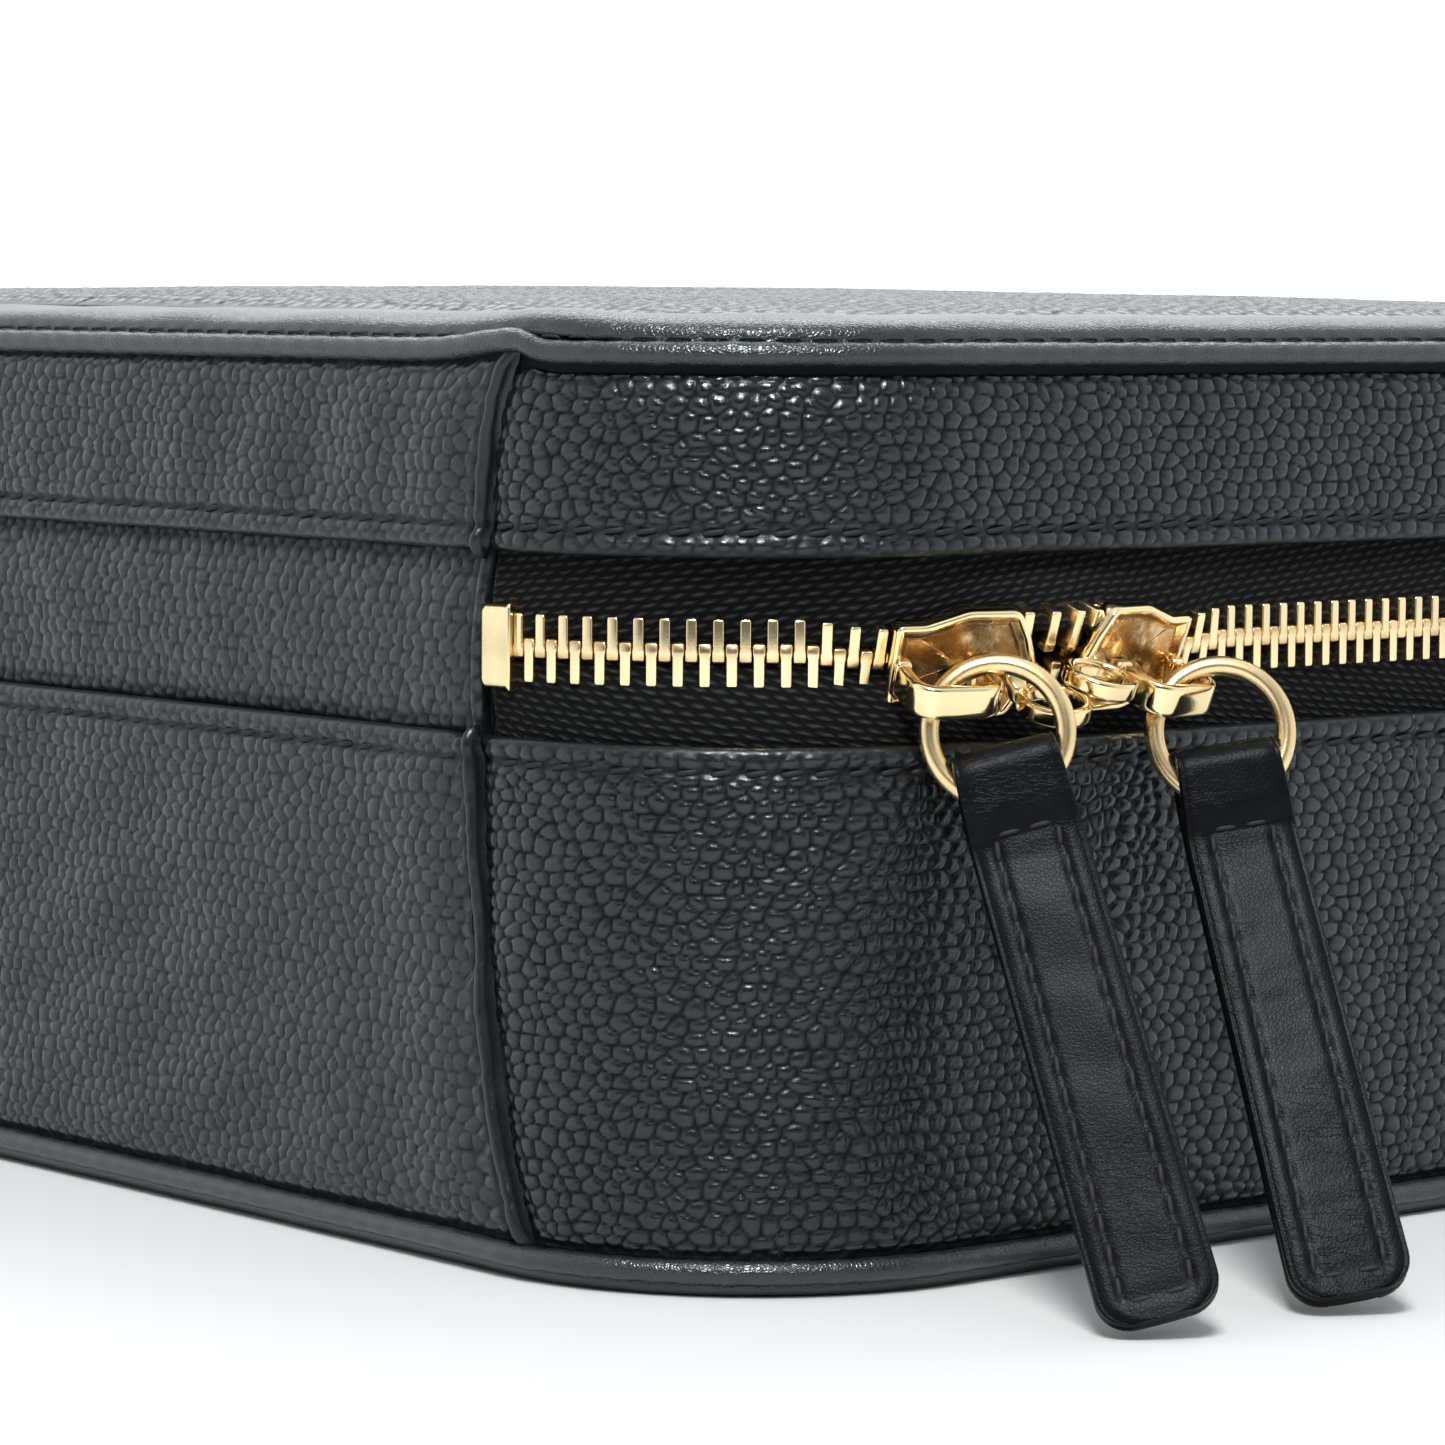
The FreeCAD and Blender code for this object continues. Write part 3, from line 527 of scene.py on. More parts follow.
def hinge_strip():
    zs = steps(44.6, 66.0, 0.42)
    S = BACK
    z = zs[:, None]
    s = np.broadcast_to(S[None, :], (len(zs), len(S))).copy()
    sh = seam_s(zs)[:, None] - 0.15
    s = s + sh * np.clip(1 + S / 25, 0, 1)[None, :] - sh * np.clip(1 - (S + 2 * SEAM) / 25, 0, 1)[None, :]
    g = pebble(s + 0.3 * und(s, z, 70, 8.0), z, 1.72, 1.42, 15)
    e = np.minimum(-S, S + 2 * SEAM)[None, :]
    d = -1.85 + 1.2 * np.sin(np.pi * np.clip((z - 45.9) / 18.7, 0, 1)) ** 0.8 + 0.18 * und(s, z, 71, 16.0)
    d = d + 0.23 * (g - 0.75) * smooth(1.4, 2.8, e) + 0.22 * bell(e - 7.0, 4.0) - 0.16 * bell(e - 2.6, 1.4)
    d = d - 0.22 * np.abs(und(z + 0.5 * e, e * 0.3, 73, 2.6)) * bell(e - 2.3, 1.0)
    x = e - 0.72 + 0.16 * und(z, z * 0, 72, 7.0)
    d = d + 0.55 * np.sqrt(np.clip(1 - (x / 0.78) ** 2, 0, 1)) - 0.25 * bell(e - 1.75, 0.4)
    d = d - 0.9 * smooth(0.10, 0.0, e)
    p, n = outline(s)
    front = np.concatenate([p + n * d[..., None], np.broadcast_to(z[..., None], s.shape + (1,))], -1)
    back = np.concatenate([p + n * -2.9, np.broadcast_to(z[..., None], s.shape + (1,))], -1)[::-1][[0, len(zs) // 3, 2 * len(zs) // 3, -1]]
    P = np.concatenate([front, back], 0)
    nr, nc = P.shape[:2]
    # painted shade: the grain attribute is darkened along the top edge under the lid panel, along the bottom edge above
    # the base panel, and in the stitched groove beside the seam
    g = (0.24 + 0.76 * g) * (1 - 0.55 * bell(z - 63.0, 1.5) - 0.50 * bell(z - 47.6, 1.3)) * (1 - 0.5 * bell(e - 1.8, 0.5))
    ga = np.concatenate([np.clip(g, 0, 1), np.full((4, nc), 0.5)], 0)
    caps = [[r * nc for r in range(nr)], [r * nc + nc - 1 for r in range(nr)][::-1]]
    ob = add("hinge_strip_leather", P, gridq(nr, nc, close_r=True), ngons=caps, mat=GRAIN, attrs={"grain": ga.ravel()})
    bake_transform(ob)
    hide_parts("hinge_strip")


hinge_strip()


# ---------------------------------------------------------------------------
# stitches
# ---------------------------------------------------------------------------
def stitches(name, A, B, N, body, r=0.24, rise=0.10):
    A, B, N = (np.asarray(x, float) for x in (A, B, N))
    T = B - A
    L = np.linalg.norm(T, axis=1, keepdims=True)
    T = T / L
    N = N - T * np.sum(N * T, 1, keepdims=True)
    N = N / np.linalg.norm(N, axis=1, keepdims=True)
    Bn = np.cross(N, T)
    x = np.array([-1.06, -1.0, -0.75, -0.35, 0.0, 0.35, 0.75, 1.0, 1.06])
    h = rise - 0.55 * np.abs(x) ** 6 * (rise + 2.2 * r)
    rad = r * np.array([0.2, 0.6, 0.9, 1.0, 1.02, 1.0, 0.9, 0.6, 0.2])
    a = np.linspace(0, 2 * np.pi, 8, endpoint=False)
    mid = (A + B) / 2
    c = mid[:, None, :] + T[:, None, :] * (x[None, :, None] * L[:, None] / 2) + N[:, None, :] * h[None, :, None]
    P = c[:, :, None, :] + rad[None, :, None, None] * (np.cos(a)[None, None, :, None] * Bn[:, None, None, :] * 1.1 + np.sin(a)[None, None, :, None] * N[:, None, None, :] * 0.85)
    m, nx, na = P.shape[:3]
    q0 = gridq(nx, na, close_c=True)
    q = (q0[None] + (np.arange(m) * nx * na)[:, None, None]).reshape(-1, 4)
    caps = []
    for i in range(m):
        b = i * nx * na
        caps.append([b + k for k in range(na)][::-1])
        caps.append([b + (nx - 1) * na + k for k in range(na)])
    ob = add(name, P, q, ngons=caps, body=body, mat=THREAD)
    return ob


def line_on_wall(S0, S1, z, pitch, out, length=2.15, slant=0.16):
    c = np.arange(S0 + pitch / 2, S1, pitch)
    pts = []
    for sg in (-1, 1):
        p, n = outline(c + sg * length / 2)
        pts.append(np.c_[p + n * out, np.full(len(c), z + sg * slant)])
    _, n = outline(c)
    return pts[0], pts[1], np.c_[n, np.zeros(len(c))]


def upright(zs, pitch, e, out, side):
    zc = np.arange(zs[0] + pitch / 2, zs[1], pitch)
    A, B = [], []
    for sg, store in ((-1, A), (1, B)):
        z = zc + sg * 1.05
        s = seam_s(z) - e
        if side < 0:
            p, n = outline(s)
        else:
            p, n = outline(-2 * SEAM - s)
        store.append(np.c_[p + n * out, z])
    return A[0], B[0], np.tile([0.0, 1.0, 0.0], (len(zc), 1))


def join(*sets):
    return [np.concatenate([s[i] for s in sets]) for i in range(3)]


stitches("base_stitches", *join(line_on_wall(2.4, OPEN - 2.4, 45.05, 3.0, -0.20), line_on_wall(-2 * SEAM + 4.5, -4.5, 45.05, 3.0, -0.20),
                                upright((4.2, 46.0), 3.1, 1.75, -0.22, -1), upright((4.2, 46.0), 3.1, 1.75, -0.22, 1)), "base")
stitches("lid_stitches", *join(line_on_wall(1.6, OPEN - 1.6, 65.45, 3.0, -0.20), line_on_wall(-2 * SEAM + 4.5, -4.5, 65.45, 3.0, -0.20),
                               upright((64.6, 78.8), 3.1, 1.75, -0.22, -1), upright((64.6, 78.8), 3.1, 1.75, -0.22, 1)), "lid")


# ---------------------------------------------------------------------------
# piping, borders, panels
# ---------------------------------------------------------------------------
RING_S = np.r_[steps(0, 210, 0.8)[:-1], steps(210, OPEN, 1.6)[:-1], steps(OPEN, LOOP - 90, 1.6)[:-1], steps(LOOP - 90, LOOP, 0.8)[:-1]]


def loop_sweep(prof_fn, S, close=True):
    """prof_fn(s) -> (nr, nc, 2) of out, z"""
    o = prof_fn(S)
    p, n = outline(S)
    P = np.zeros(o.shape[:2] + (3,))
    P[..., :2] = p[None] + n[None] * o[..., :1]
    P[..., 2] = o[..., 1]
    return P


def piping(name, node_name, body, z, up):
    a = np.linspace(0, 2 * np.pi, 16, endpoint=False)

    def prof(S):
        r = 1.06 + 0.035 * np.cos(2 * np.pi * S / 3.2) + 0.03 * und(S, S * 0, 31 + int(up), 12.0)
        lift = 1.0 * seam_bump(S) if up else -0.12 * seam_bump(S, 6.0)
        out = -0.5 + r[None] * np.cos(a)[:, None]
        zz = z + lift[None] + r[None] * np.sin(a)[:, None]
        return np.stack([out, zz], -1)

    P = loop_sweep(prof, RING_S)
    ob = add(name, P, gridq(len(a), len(RING_S), close_r=True, close_c=True), body=body, mat=SMOOTH)
    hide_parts(node_name)


piping("lid_piping_cord", "lid_piping", "lid", 80.5, True)
piping("bottom_piping_cord", "bottom_piping", "base", 2.2, False)


def border(name, node_name, body, pts, up, pucker):
    """strip between piping and panel; pts are (out, z) from the piping inwards"""
    pts = np.array(pts, float)
    t = np.r_[0, np.cumsum(np.linalg.norm(np.diff(pts, axis=0), axis=1))]
    tt = np.r_[steps(0, 4.0, 0.3), steps(4.5, t[-1], 0.8)]
    o = np.stack([np.interp(tt, t, pts[:, 0]), np.interp(tt, t, pts[:, 1])], -1)
    for _ in range(3):
        o[1:-1] = 0.25 * o[:-2] + 0.5 * o[1:-1] + 0.25 * o[2:]
    under = np.array([(o[-1, 0], pts[-1, 1] - 1.2 if up else pts[-1, 1] + 0.9), (o[0, 0] - 0.6, (81.75 if up else 1.0))])
    o = np.concatenate([o, under], 0)
    nn = section_normals(o)
    if not up:
        nn = -nn
    S = RING_S

    def prof(S):
        f = np.r_[np.ones(len(tt)), 0, 0][:, None]
        tq = np.r_[tt, 0, 0][:, None]
        d = -(0.12 + 0.10 * np.cos(2 * np.pi * S / 3.2))[None] * bell(tq - pucker, 0.5) + 0.10 * bell(tq - pucker + 1.0, 0.6)
        d = d + 0.10 * und(S[None], tq * 2.0, 41, 14.0) * smooth(0.5, 3, tq) * (1 - smooth(10, 13, tq))
        d = d * f
        lift = (0.7 * seam_bump(S, 6.5, 9.0, 8.0) if up else 0.0 * S)[None] * (1 - smooth(2, 9, tq)) * f
        return np.stack([o[:, 0][:, None] + d * nn[:, 0][:, None], o[:, 1][:, None] + d * nn[:, 1][:, None] + lift], -1)

    P = loop_sweep(prof, S)
    ob = add(name, P, gridq(len(o), len(S), close_r=True, close_c=True, flip=not up), body=body, mat=SMOOTH)
    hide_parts(node_name)
    k = np.argmin(abs(tt - pucker))
    return o[k]


spot = border("lid_border_strip", "lid_border", "lid", [(-0.85, 81.3), (-0.72, 81.8), (-0.9, 82.35), (-1.45, 82.95), (-2.4, 83.42), (-4, 83.76), (-7, 83.9), (-10, 83.85), (-13.9, 83.6)], True, 0.55)
c = np.arange(1.6, LOOP - 0.5, 3.2)
pts = []
for sg in (-1, 1):
    p, n = outline(c + sg * 1.1)
    pts.append(np.c_[p + n * (spot[0] - 0.02), np.full(len(c), spot[1] - 0.08)])
_, n = outline(c)
stitches("lid_border_stitches", pts[0], pts[1], np.c_[n * 0.7, np.full(len(c), 0.7)], "lid", r=0.16)
border("bottom_border_strip", "bottom_border", "base", [(-0.8, 1.45), (-0.6, 1.05), (-0.62, 0.6), (-1.0, 0.22), (-2.0, 0.04), (-6, 0.0), (-13.9, 0.0)], False, 2.6)


def rounded_field(off, nx, ny):
    """even grid over the outline drawn in by off: x, y and the distance to its edge"""
    a, b, r = HW - off, HD - off, CR - off
    X, Y = np.meshgrid(np.linspace(-a, a, nx), np.linspace(-b, b, ny))
    ux, uy = (np.abs(X) - (a - r)) / r, (np.abs(Y) - (b - r)) / r
    m = (ux > 0) & (uy > 0)
    wx = np.where(m, ux * np.sqrt(np.clip(1 - uy ** 2 / 2, 0, 1)), ux)
    wy = np.where(m, uy * np.sqrt(np.clip(1 - ux ** 2 / 2, 0, 1)), uy)
    x = np.where(m, np.sign(X) * (a - r + wx * r), X)
    y = np.where(m, np.sign(Y) * (b - r + wy * r), Y)
    dist = np.where(m, r * (1 - np.hypot(wx, wy)), np.minimum(a - np.abs(X), b - np.abs(Y)))
    return x, y, np.maximum(dist, 0)


def slab(name, x, y, z, zb, body, mat, up=True, attrs=None):
    """closed sheet: shaped face, flat back"""
    ny, nx = x.shape
    P = np.concatenate([np.stack([x, y, z], -1).reshape(-1, 3)], 0)
    q = gridq(ny, nx, flip=not up)
    rim = [i for i in range(nx)] + [j * nx + nx - 1 for j in range(1, ny)] + [(ny - 1) * nx + i for i in range(nx - 2, -1, -1)] + [j * nx for j in range(ny - 2, 0, -1)]
    low = P[rim].copy()
    low[:, 2] = zb
    b = len(P)
    P = np.concatenate([P, low], 0)
    m = len(rim)
    side = [[rim[(i + 1) % m], rim[i], b + i, b + (i + 1) % m] for i in range(m)]
    cap = [b + i for i in range(m)][::-1]
    if not up:
        side = [f[::-1] for f in side]
        cap = cap[::-1]
    at = {k: np.r_[a.ravel(), np.zeros(m)] for k, a in (attrs or {}).items()}
    return add(name, P, q, ngons=side + [cap], body=body, mat=mat, attrs=at)


x, y, dist = rounded_field(14.1, 511, 365)
z = 85.96 - (x ** 2 + y ** 2) / 7400 - 1.45 * np.exp(-dist / 2.6) + 0.18 * und(x, y, 82, 46.0) * smooth(0, 14, dist)
z = z + 0.03 * und(x, y, 83, 7.0) * smooth(0.5, 4.0, dist)
flat = smooth(0.4, 1.8, dist)
g = pebble(x + 0.4 * und(x, y, 84, 9.0), y + 0.4 * und(x, y, 85, 8.0), 1.95, 1.6, 17)
z = z + 0.27 * (g - 0.75) * flat
g = np.clip(g * flat + 0.6 * (1 - flat), 0, 1)
for nm, cut in (("left", slice(0, 256)), ("right", slice(255, 511))):
    top = slab("lid_top_panel_leather_" + nm, x[:, cut], y[:, cut], z[:, cut], 83.1, "lid", GRAIN, attrs={"grain": g[:, cut]})
    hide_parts("lid_top_panel")
x, y, dist = rounded_field(14.1, 120, 90)
z = 0.02 + 0.25 * np.exp(-dist / 1.5)
under = slab("bottom_panel_leather", x, y, z, 1.0, "base", SMOOTH, up=False)
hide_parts("bottom_panel")


# ---------------------------------------------------------------------------
# linings and inside fittings
# ---------------------------------------------------------------------------
def lining(name, node_name, body, pts, floor_z, up):
    pts = np.array(pts, float)
    t = np.r_[0, np.cumsum(np.linalg.norm(np.diff(pts, axis=0), axis=1))]
    tt = steps(0, t[-1], 0.9)
    o = np.stack([np.interp(tt, t, pts[:, 0]), np.interp(tt, t, pts[:, 1])], -1)
    for _ in range(2):
        o[1:-1] = 0.25 * o[:-2] + 0.5 * o[1:-1] + 0.25 * o[2:]
    S = steps(0, LOOP, 2.0)[:-1]
    p, n = outline(S)
    out = o[:, 0][:, None] + 0.07 * und(S[None], tt[:, None], 91, 20.0)
    P = np.zeros(out.shape + (3,))
    P[..., :2] = p[None] + n[None] * out[..., None]
    P[..., 2] = o[:, 1][:, None]
    b = Bag()
    b.grid(P, close_c=True, flip=up)
    x, y, dist = rounded_field(-o[-1, 0] - 0.05, 60, 46)
    F = np.stack([x, y, np.full(x.shape, floor_z) + 0.05 * und(x, y, 92, 25.0)], -1)
    b.grid(F, flip=not up)
    ob = b.make(name, body, LINING)
    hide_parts(node_name)


lining("base_lining_cloth", "base_lining", "base", [(-1.62, 43.75), (-2.3, 44.0), (-3.4, 43.95), (-4.2, 43.6), (-4.5, 42.6), (-4.5, 20), (-4.5, 6.0), (-4.9, 4.8), (-6.2, 4.2)], 4.18, True)
lining("lid_lining_cloth", "lid_lining", "lid", [(-1.62, 66.75), (-2.3, 66.5), (-3.4, 66.55), (-4.2, 66.9), (-4.5, 67.8), (-4.5, 72), (-4.5, 77.2), (-4.9, 78.1), (-6.2, 78.45)], 78.42, False)

b = Bag()
for i in range(8):
    y0 = -64.75 + 18.5 * i
    xs = np.r_[-103.0 + 2.6 * (1 - np.cos(np.linspace(0, np.pi / 2, 7)[:-1])), steps(-100.4, 12.4, 1.2), 15.0 - 2.6 * (1 - np.cos(np.linspace(np.pi / 2, 0, 7)[1:]))]
    a = np.linspace(0, 2 * np.pi, 40, endpoint=False)
    end = np.minimum(xs + 103.0, 15.0 - xs)
    r = 8.35 - 2.6 + np.sqrt(np.clip(2.6 ** 2 - np.clip(2.6 - end, 0, 2.6) ** 2, 0, None))
    r = r[:, None] * np.ones(len(a))[None]
    r = r - 0.12 + 0.12 * und(xs[:, None] + 0 * a[None], 8.4 * a[None] + 0 * xs[:, None], 200 + i, 16.0) - 0.5 * bell(a[None] - 3 * np.pi / 2, 0.06)
    P = np.stack([np.broadcast_to(xs[:, None], r.shape), y0 + r * np.cos(a)[None], 4.25 + 8.4 + r * np.sin(a)[None]], -1)
    b.grid(P, close_c=True, cap0=True, cap1=True, flip=False)
rolls = b.make("ring_rolls_padded", "base", LINING)
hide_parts("ring_rolls")


def wrapped_board(name, node_name, c0, c1, half, z0, z1, along_y):
    """stiff divider wrapped in lining cloth, with a soft rounded top"""
    h = half
    sec = [(-h, z0)] + [(-h, z) for z in steps(z0 + 1, z1 - h, 3.0)] + [(h * math.cos(w), z1 - h + h * math.sin(w)) for w in np.linspace(np.pi, 0, 13)[1:-1]] + [(h, z) for z in steps(z1 - h, z0 + 1, 3.0)] + [(h, z0)]
    sec = np.array(sec)
    c = steps(c0, c1, 2.0)
    w = 1 - 0.02 * und(c[:, None], sec[None, :, 1], 301, 30.0)
    P = np.zeros((len(c), len(sec), 3))
    if along_y:
        P[..., 0] = 18.0 + sec[None, :, 0] * w
        P[..., 1] = c[:, None]
    else:
        P[..., 0] = c[:, None]
        P[..., 1] = sec[None, :, 0] * w
    P[..., 2] = sec[None, :, 1]
    bg = Bag().grid(P, close_c=True, cap0=True, cap1=True, flip=along_y)
    ob = bg.make(name, "base", LINING)
    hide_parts(node_name)


wrapped_board("divider_long_wrapped", "divider_long", -82.2, 82.2, 1.45, 4.2, 38.0, True)
wrapped_board("divider_cross_wrapped", "divider_cross", 19.7, 111.2, 1.45, 4.2, 36.0, False)

# ---------------------------------------------------------------------------
# zip
# ---------------------------------------------------------------------------
FACE = 0.7022
FWD = np.array([math.cos(FACE), -math.sin(FACE)])
RGT = np.array([-math.sin(FACE), -math.cos(FACE)])
SIDE = math.degrees(FACE)
RUNS = [(10, -38, -19), (4, -19, -12), (15, -12, 12), (4, 12, 22), (13.7, 22, 22), (4.4, 22, 48), (13.7, 48, 48), (6, 48, SIDE)]
S_LEFT, S_RIGHT = 39.85, 57.95
PITCH, SPLAY, CHAIN_OFF = 2.25, 1.35, 2.0
Z_ZIP, SLIDER_Z, TILT = 55.0, 54.7, math.radians(21.0)
SL = 6.85


def zip_line():
    segs = []
    for length, a, b in RUNS:
        n = max(2, int(round(length / 0.05)))
        segs += [(length / n, a + (b - a) * (i + 0.5) / n) for i in range(n)]
    r = CR - CHAIN_OFF
    q = np.cumsum([[d * (RGT[0] * math.cos(math.radians(h)) + FWD[0] * math.sin(math.radians(h))), d * (RGT[1] * math.cos(math.radians(h)) + FWD[1] * math.sin(math.radians(h)))] for d, h in segs], axis=0)
    y_end = q[-1][1] + HD - 2.0
    for length, turn in ((y_end + CY, 0), (r * math.pi / 2, 90), (2 * CX, 0), (r * math.pi / 2, 90), (2 * CY, 0), (r * math.pi / 2, 90)):
        h0 = segs[-1][1] if not turn else round_h
        if not turn:
            h0 = round_h if len(segs) > n_runs(segs) else SIDE
        n = int(round(length / 0.05))
        segs += [(length / n, h0 + turn * (i + 0.5) / n) for i in range(n)]
        round_h = h0 + turn
    return segs


def n_runs(segs):
    return sum(max(2, int(round(L / 0.05))) for L, _, _ in RUNS)


zs = zip_line()
zd = np.array([d for d, _ in zs])
zh = np.radians(np.array([h for _, h in zs]))
zp = np.concatenate([[[0, 0]], np.cumsum(zd[:, None] * (RGT[None] * np.cos(zh)[:, None] + FWD[None] * np.sin(zh)[:, None]), axis=0)])
zs = np.r_[0, np.cumsum(zd)]
n_run = n_runs(None)
zp = zp + np.array([(-HW + CHAIN_OFF) - zp[n_run][0], HD - 2.0])
zh = np.r_[zh, zh[-1]]
TOTAL = zs[-1]
LEFT_A, LEFT_B, RIGHT_A, RIGHT_B = S_LEFT - SL, S_LEFT + SL, S_RIGHT - SL, S_RIGHT + SL


def zip_frame(s):
    """point, and the directions along, across and out of the zip"""
    s = np.asarray(s, float)
    over = s - np.clip(s, 0, TOTAL)
    x = np.stack([np.interp(s, zs, zp[:, 0]), np.interp(s, zs, zp[:, 1])], -1)
    h = np.interp(s, zs, zh)
    t2 = RGT * np.cos(h)[..., None] + FWD * np.sin(h)[..., None]
    n2 = RGT * np.sin(h)[..., None] - FWD * np.cos(h)[..., None]
    k = smooth(LEFT_A - 8.5, LEFT_A - 0.3, s) * (1 - smooth(RIGHT_B + 0.3, RIGHT_B + 8.5, s))
    th = TILT * k
    zero = np.zeros(s.shape + (1,))
    t = np.concatenate([t2, zero], -1)
    x = x + t2 * over[..., None]
    n0 = np.concatenate([n2, zero], -1)
    up = np.array([0, 0, 1.0])
    v = up * np.cos(th)[..., None] + n0 * np.sin(th)[..., None]
    n = n0 * np.cos(th)[..., None] - up * np.sin(th)[..., None]
    o = np.concatenate([x, (Z_ZIP + (SLIDER_Z - Z_ZIP) * k)[..., None]], -1)
    return o, t, v, n


def splay(s):
    s = np.asarray(s, float)
    a = np.clip((s - (S_LEFT - 3.35)) / 6.0, 0, 1)
    b = np.clip(((S_RIGHT + 3.35) - s) / 6.0, 0, 1)
    return SPLAY * np.minimum(a, b)


def rrect(hu, hn, r, k=3):
    pts = []
    for cx, cy, a0 in ((hu - r, hn - r, 0), (-hu + r, hn - r, 90), (-hu + r, -hn + r, 180), (hu - r, -hn + r, 270)):
        for i in range(k + 1):
            w = math.radians(a0 + 90 * i / k)
            pts.append((cx + r * math.cos(w), cy + r * math.sin(w)))
    return np.array(pts)


def tooth_rows(name, node_name, first, sg, body):
    sec = [(-0.86, 0.34, 0.92), (-0.80, 0.46, 1.08), (-0.66, 0.53, 1.17), (0.05, 0.53, 1.2), (0.40, 0.46, 1.2), (2.72, 0.46, 1.2), (2.90, 0.43, 1.16), (2.98, 0.34, 1.04)]
    loops = [np.c_[rrect(hu, hn, 0.12), np.full(16, v)] for v, hu, hn in sec]
    T = np.array(loops)                      # rows, around, (u, n, v)
    s = np.arange(first, TOTAL - 1.0, PITCH)
    o, t, v, n = zip_frame(s)
    o = o + v * (sg * splay(s))[:, None]
    P = o[:, None, None, :] + T[None, ..., 0:1] * t[:, None, None, :] + T[None, ..., 1:2] * n[:, None, None, :] + sg * T[None, ..., 2:3] * v[:, None, None, :]
    m, nr, nc = P.shape[:3]
    q0 = gridq(nr, nc, close_c=True, flip=sg < 0)
    q = (q0[None] + (np.arange(m) * nr * nc)[:, None, None]).reshape(-1, 4)
    caps = []
    for i in range(m):
        b0 = i * nr * nc
        lo, hi = [b0 + k for k in range(nc)], [b0 + (nr - 1) * nc + k for k in range(nc)]
        caps += [lo[::-1], hi] if sg > 0 else [lo, hi[::-1]]
    pat = np.zeros((m, nr, nc))
    pat[:, :3] = 0.55
    ob = add(name, P, q, ngons=caps, body=body, mat=TEETH, attrs={"patina": pat.ravel()})
    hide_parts(node_name)


tooth_rows("zip_teeth_upper_row", "zip_teeth_upper", 0.85, 1, "lid")
tooth_rows("zip_teeth_lower_row", "zip_teeth_lower", 0.85 + PITCH / 2, -1, "base")

WS = steps(0, LOOP, 0.25)
WP, WN = outline(WS)


def nearest_wall(q):
    out = np.zeros(len(q))
    for i, x in enumerate(q):
        out[i] = WS[np.argmin((WP[:, 0] - x[0]) ** 2 + (WP[:, 1] - x[1]) ** 2)]
    return out


def tape(name, node_name, sg, body):
    s = np.r_[steps(-2.6, 140, 0.6)[:-1], steps(140, TOTAL + 2.6, 1.5)]
    o, t, v, n = zip_frame(s)
    B = o + v * (sg * (1.3 + splay(s)))[:, None]
    ws = nearest_wall(o[:, :2])
    p, wn = outline(ws)
    A = np.c_[p - wn * 2.05, np.full(len(s), 66.0 if sg > 0 else 44.5)]
    rows = np.linspace(0, 1, 26)
    mid = np.c_[p - wn * 2.0, np.full(len(s), 62.6 if sg > 0 else 47.9)]
    P, nn, uv = [], [], []
    for r in rows:
        # from behind the leather's edge to the teeth, with a soft bend under the edge
        if r < 0.3:
            w = r / 0.3
            x = A * (1 - w) + mid * w
        else:
            w = (r - 0.3) / 0.7
            x = mid * (1 - w) + B * w
            bulge = 0.25 * math.sin(math.pi * w)
            x = x + np.c_[wn, np.zeros(len(s))] * (bulge * (1 + 0.5 * und(s, s * 0, 400 + sg, 9.0)))[:, None]
        P.append(x)
    P = np.array(P)
    N = np.c_[wn, np.zeros(len(s))] * 0.5 + n * 0.5
    N = N / np.linalg.norm(N, axis=1, keepdims=True)
    bead = np.array([0.30, 0.55, 0.55, 0.30])
    thick = np.r_[np.full(len(rows) - 3, 0.30), 0.34, 0.5, 0.6]
    F = P + N[None] * thick[:, None, None]
    Bk = (P - N[None] * thick[:, None, None])[::-1]
    tip = (B - v * (sg * 0.55))[None]
    full = np.concatenate([F, tip, Bk], 0)
    nr, nc = full.shape[:2]
    lens = np.r_[0, np.cumsum(np.linalg.norm(np.diff(full, axis=0), axis=2).mean(1))]
    uv = np.stack([np.broadcast_to(s[None], (nr, nc)), np.broadcast_to(lens[:, None], (nr, nc))], -1)
    caps = [[r * nc for r in range(nr)], [r * nc + nc - 1 for r in range(nr)]]
    flip = sg > 0
    caps = [caps[0][::-1], caps[1]] if flip else [caps[0], caps[1][::-1]]
    ob = add(name, full, gridq(nr, nc, close_r=True, flip=flip), ngons=caps, body=body, mat=TAPE, uv=uv)
    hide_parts(node_name)


tape("zip_tape_upper_cloth", "zip_tape_upper", 1, "lid")
tape("zip_tape_lower_cloth", "zip_tape_lower", -1, "base")


def end_stops():
    bg = Bag()
    for s0, sg in ((0.0, -1), (TOTAL, 1)):
        o, t, v, n = zip_frame(np.array([s0]))
        o, t, v, n = o[0], t[0] * sg, v[0], n[0]
        rows = []
        spec = [(-0.35, 3.40, 1.35, 0.4), (-0.42, 3.70, 1.62, 0.45), (-0.34, 3.86, 1.78, 0.5), (-0.12, 3.84, 1.76, 0.55), (0.12, 3.70, 1.64, 0.6), (1.2, 3.60, 1.58, 0.65), (2.6, 3.62, 1.58, 0.65), (2.95, 3.52, 1.46, 0.65), (3.1, 3.25, 1.2, 0.6)]
        for u, hv, hn, r in spec:
            c = rrect(hv, hn, r, 4)
            rows.append(o + t * u + c[:, 0:1] * v + c[:, 1:2] * n)
        bg.grid(np.array(rows), close_c=True, cap0=True, cap1=True, flip=sg > 0, patina=0.1)
    ob = bg.make("zip_end_stops_metal", "base", TEETH)
    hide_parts("zip_end_stops")


end_stops()


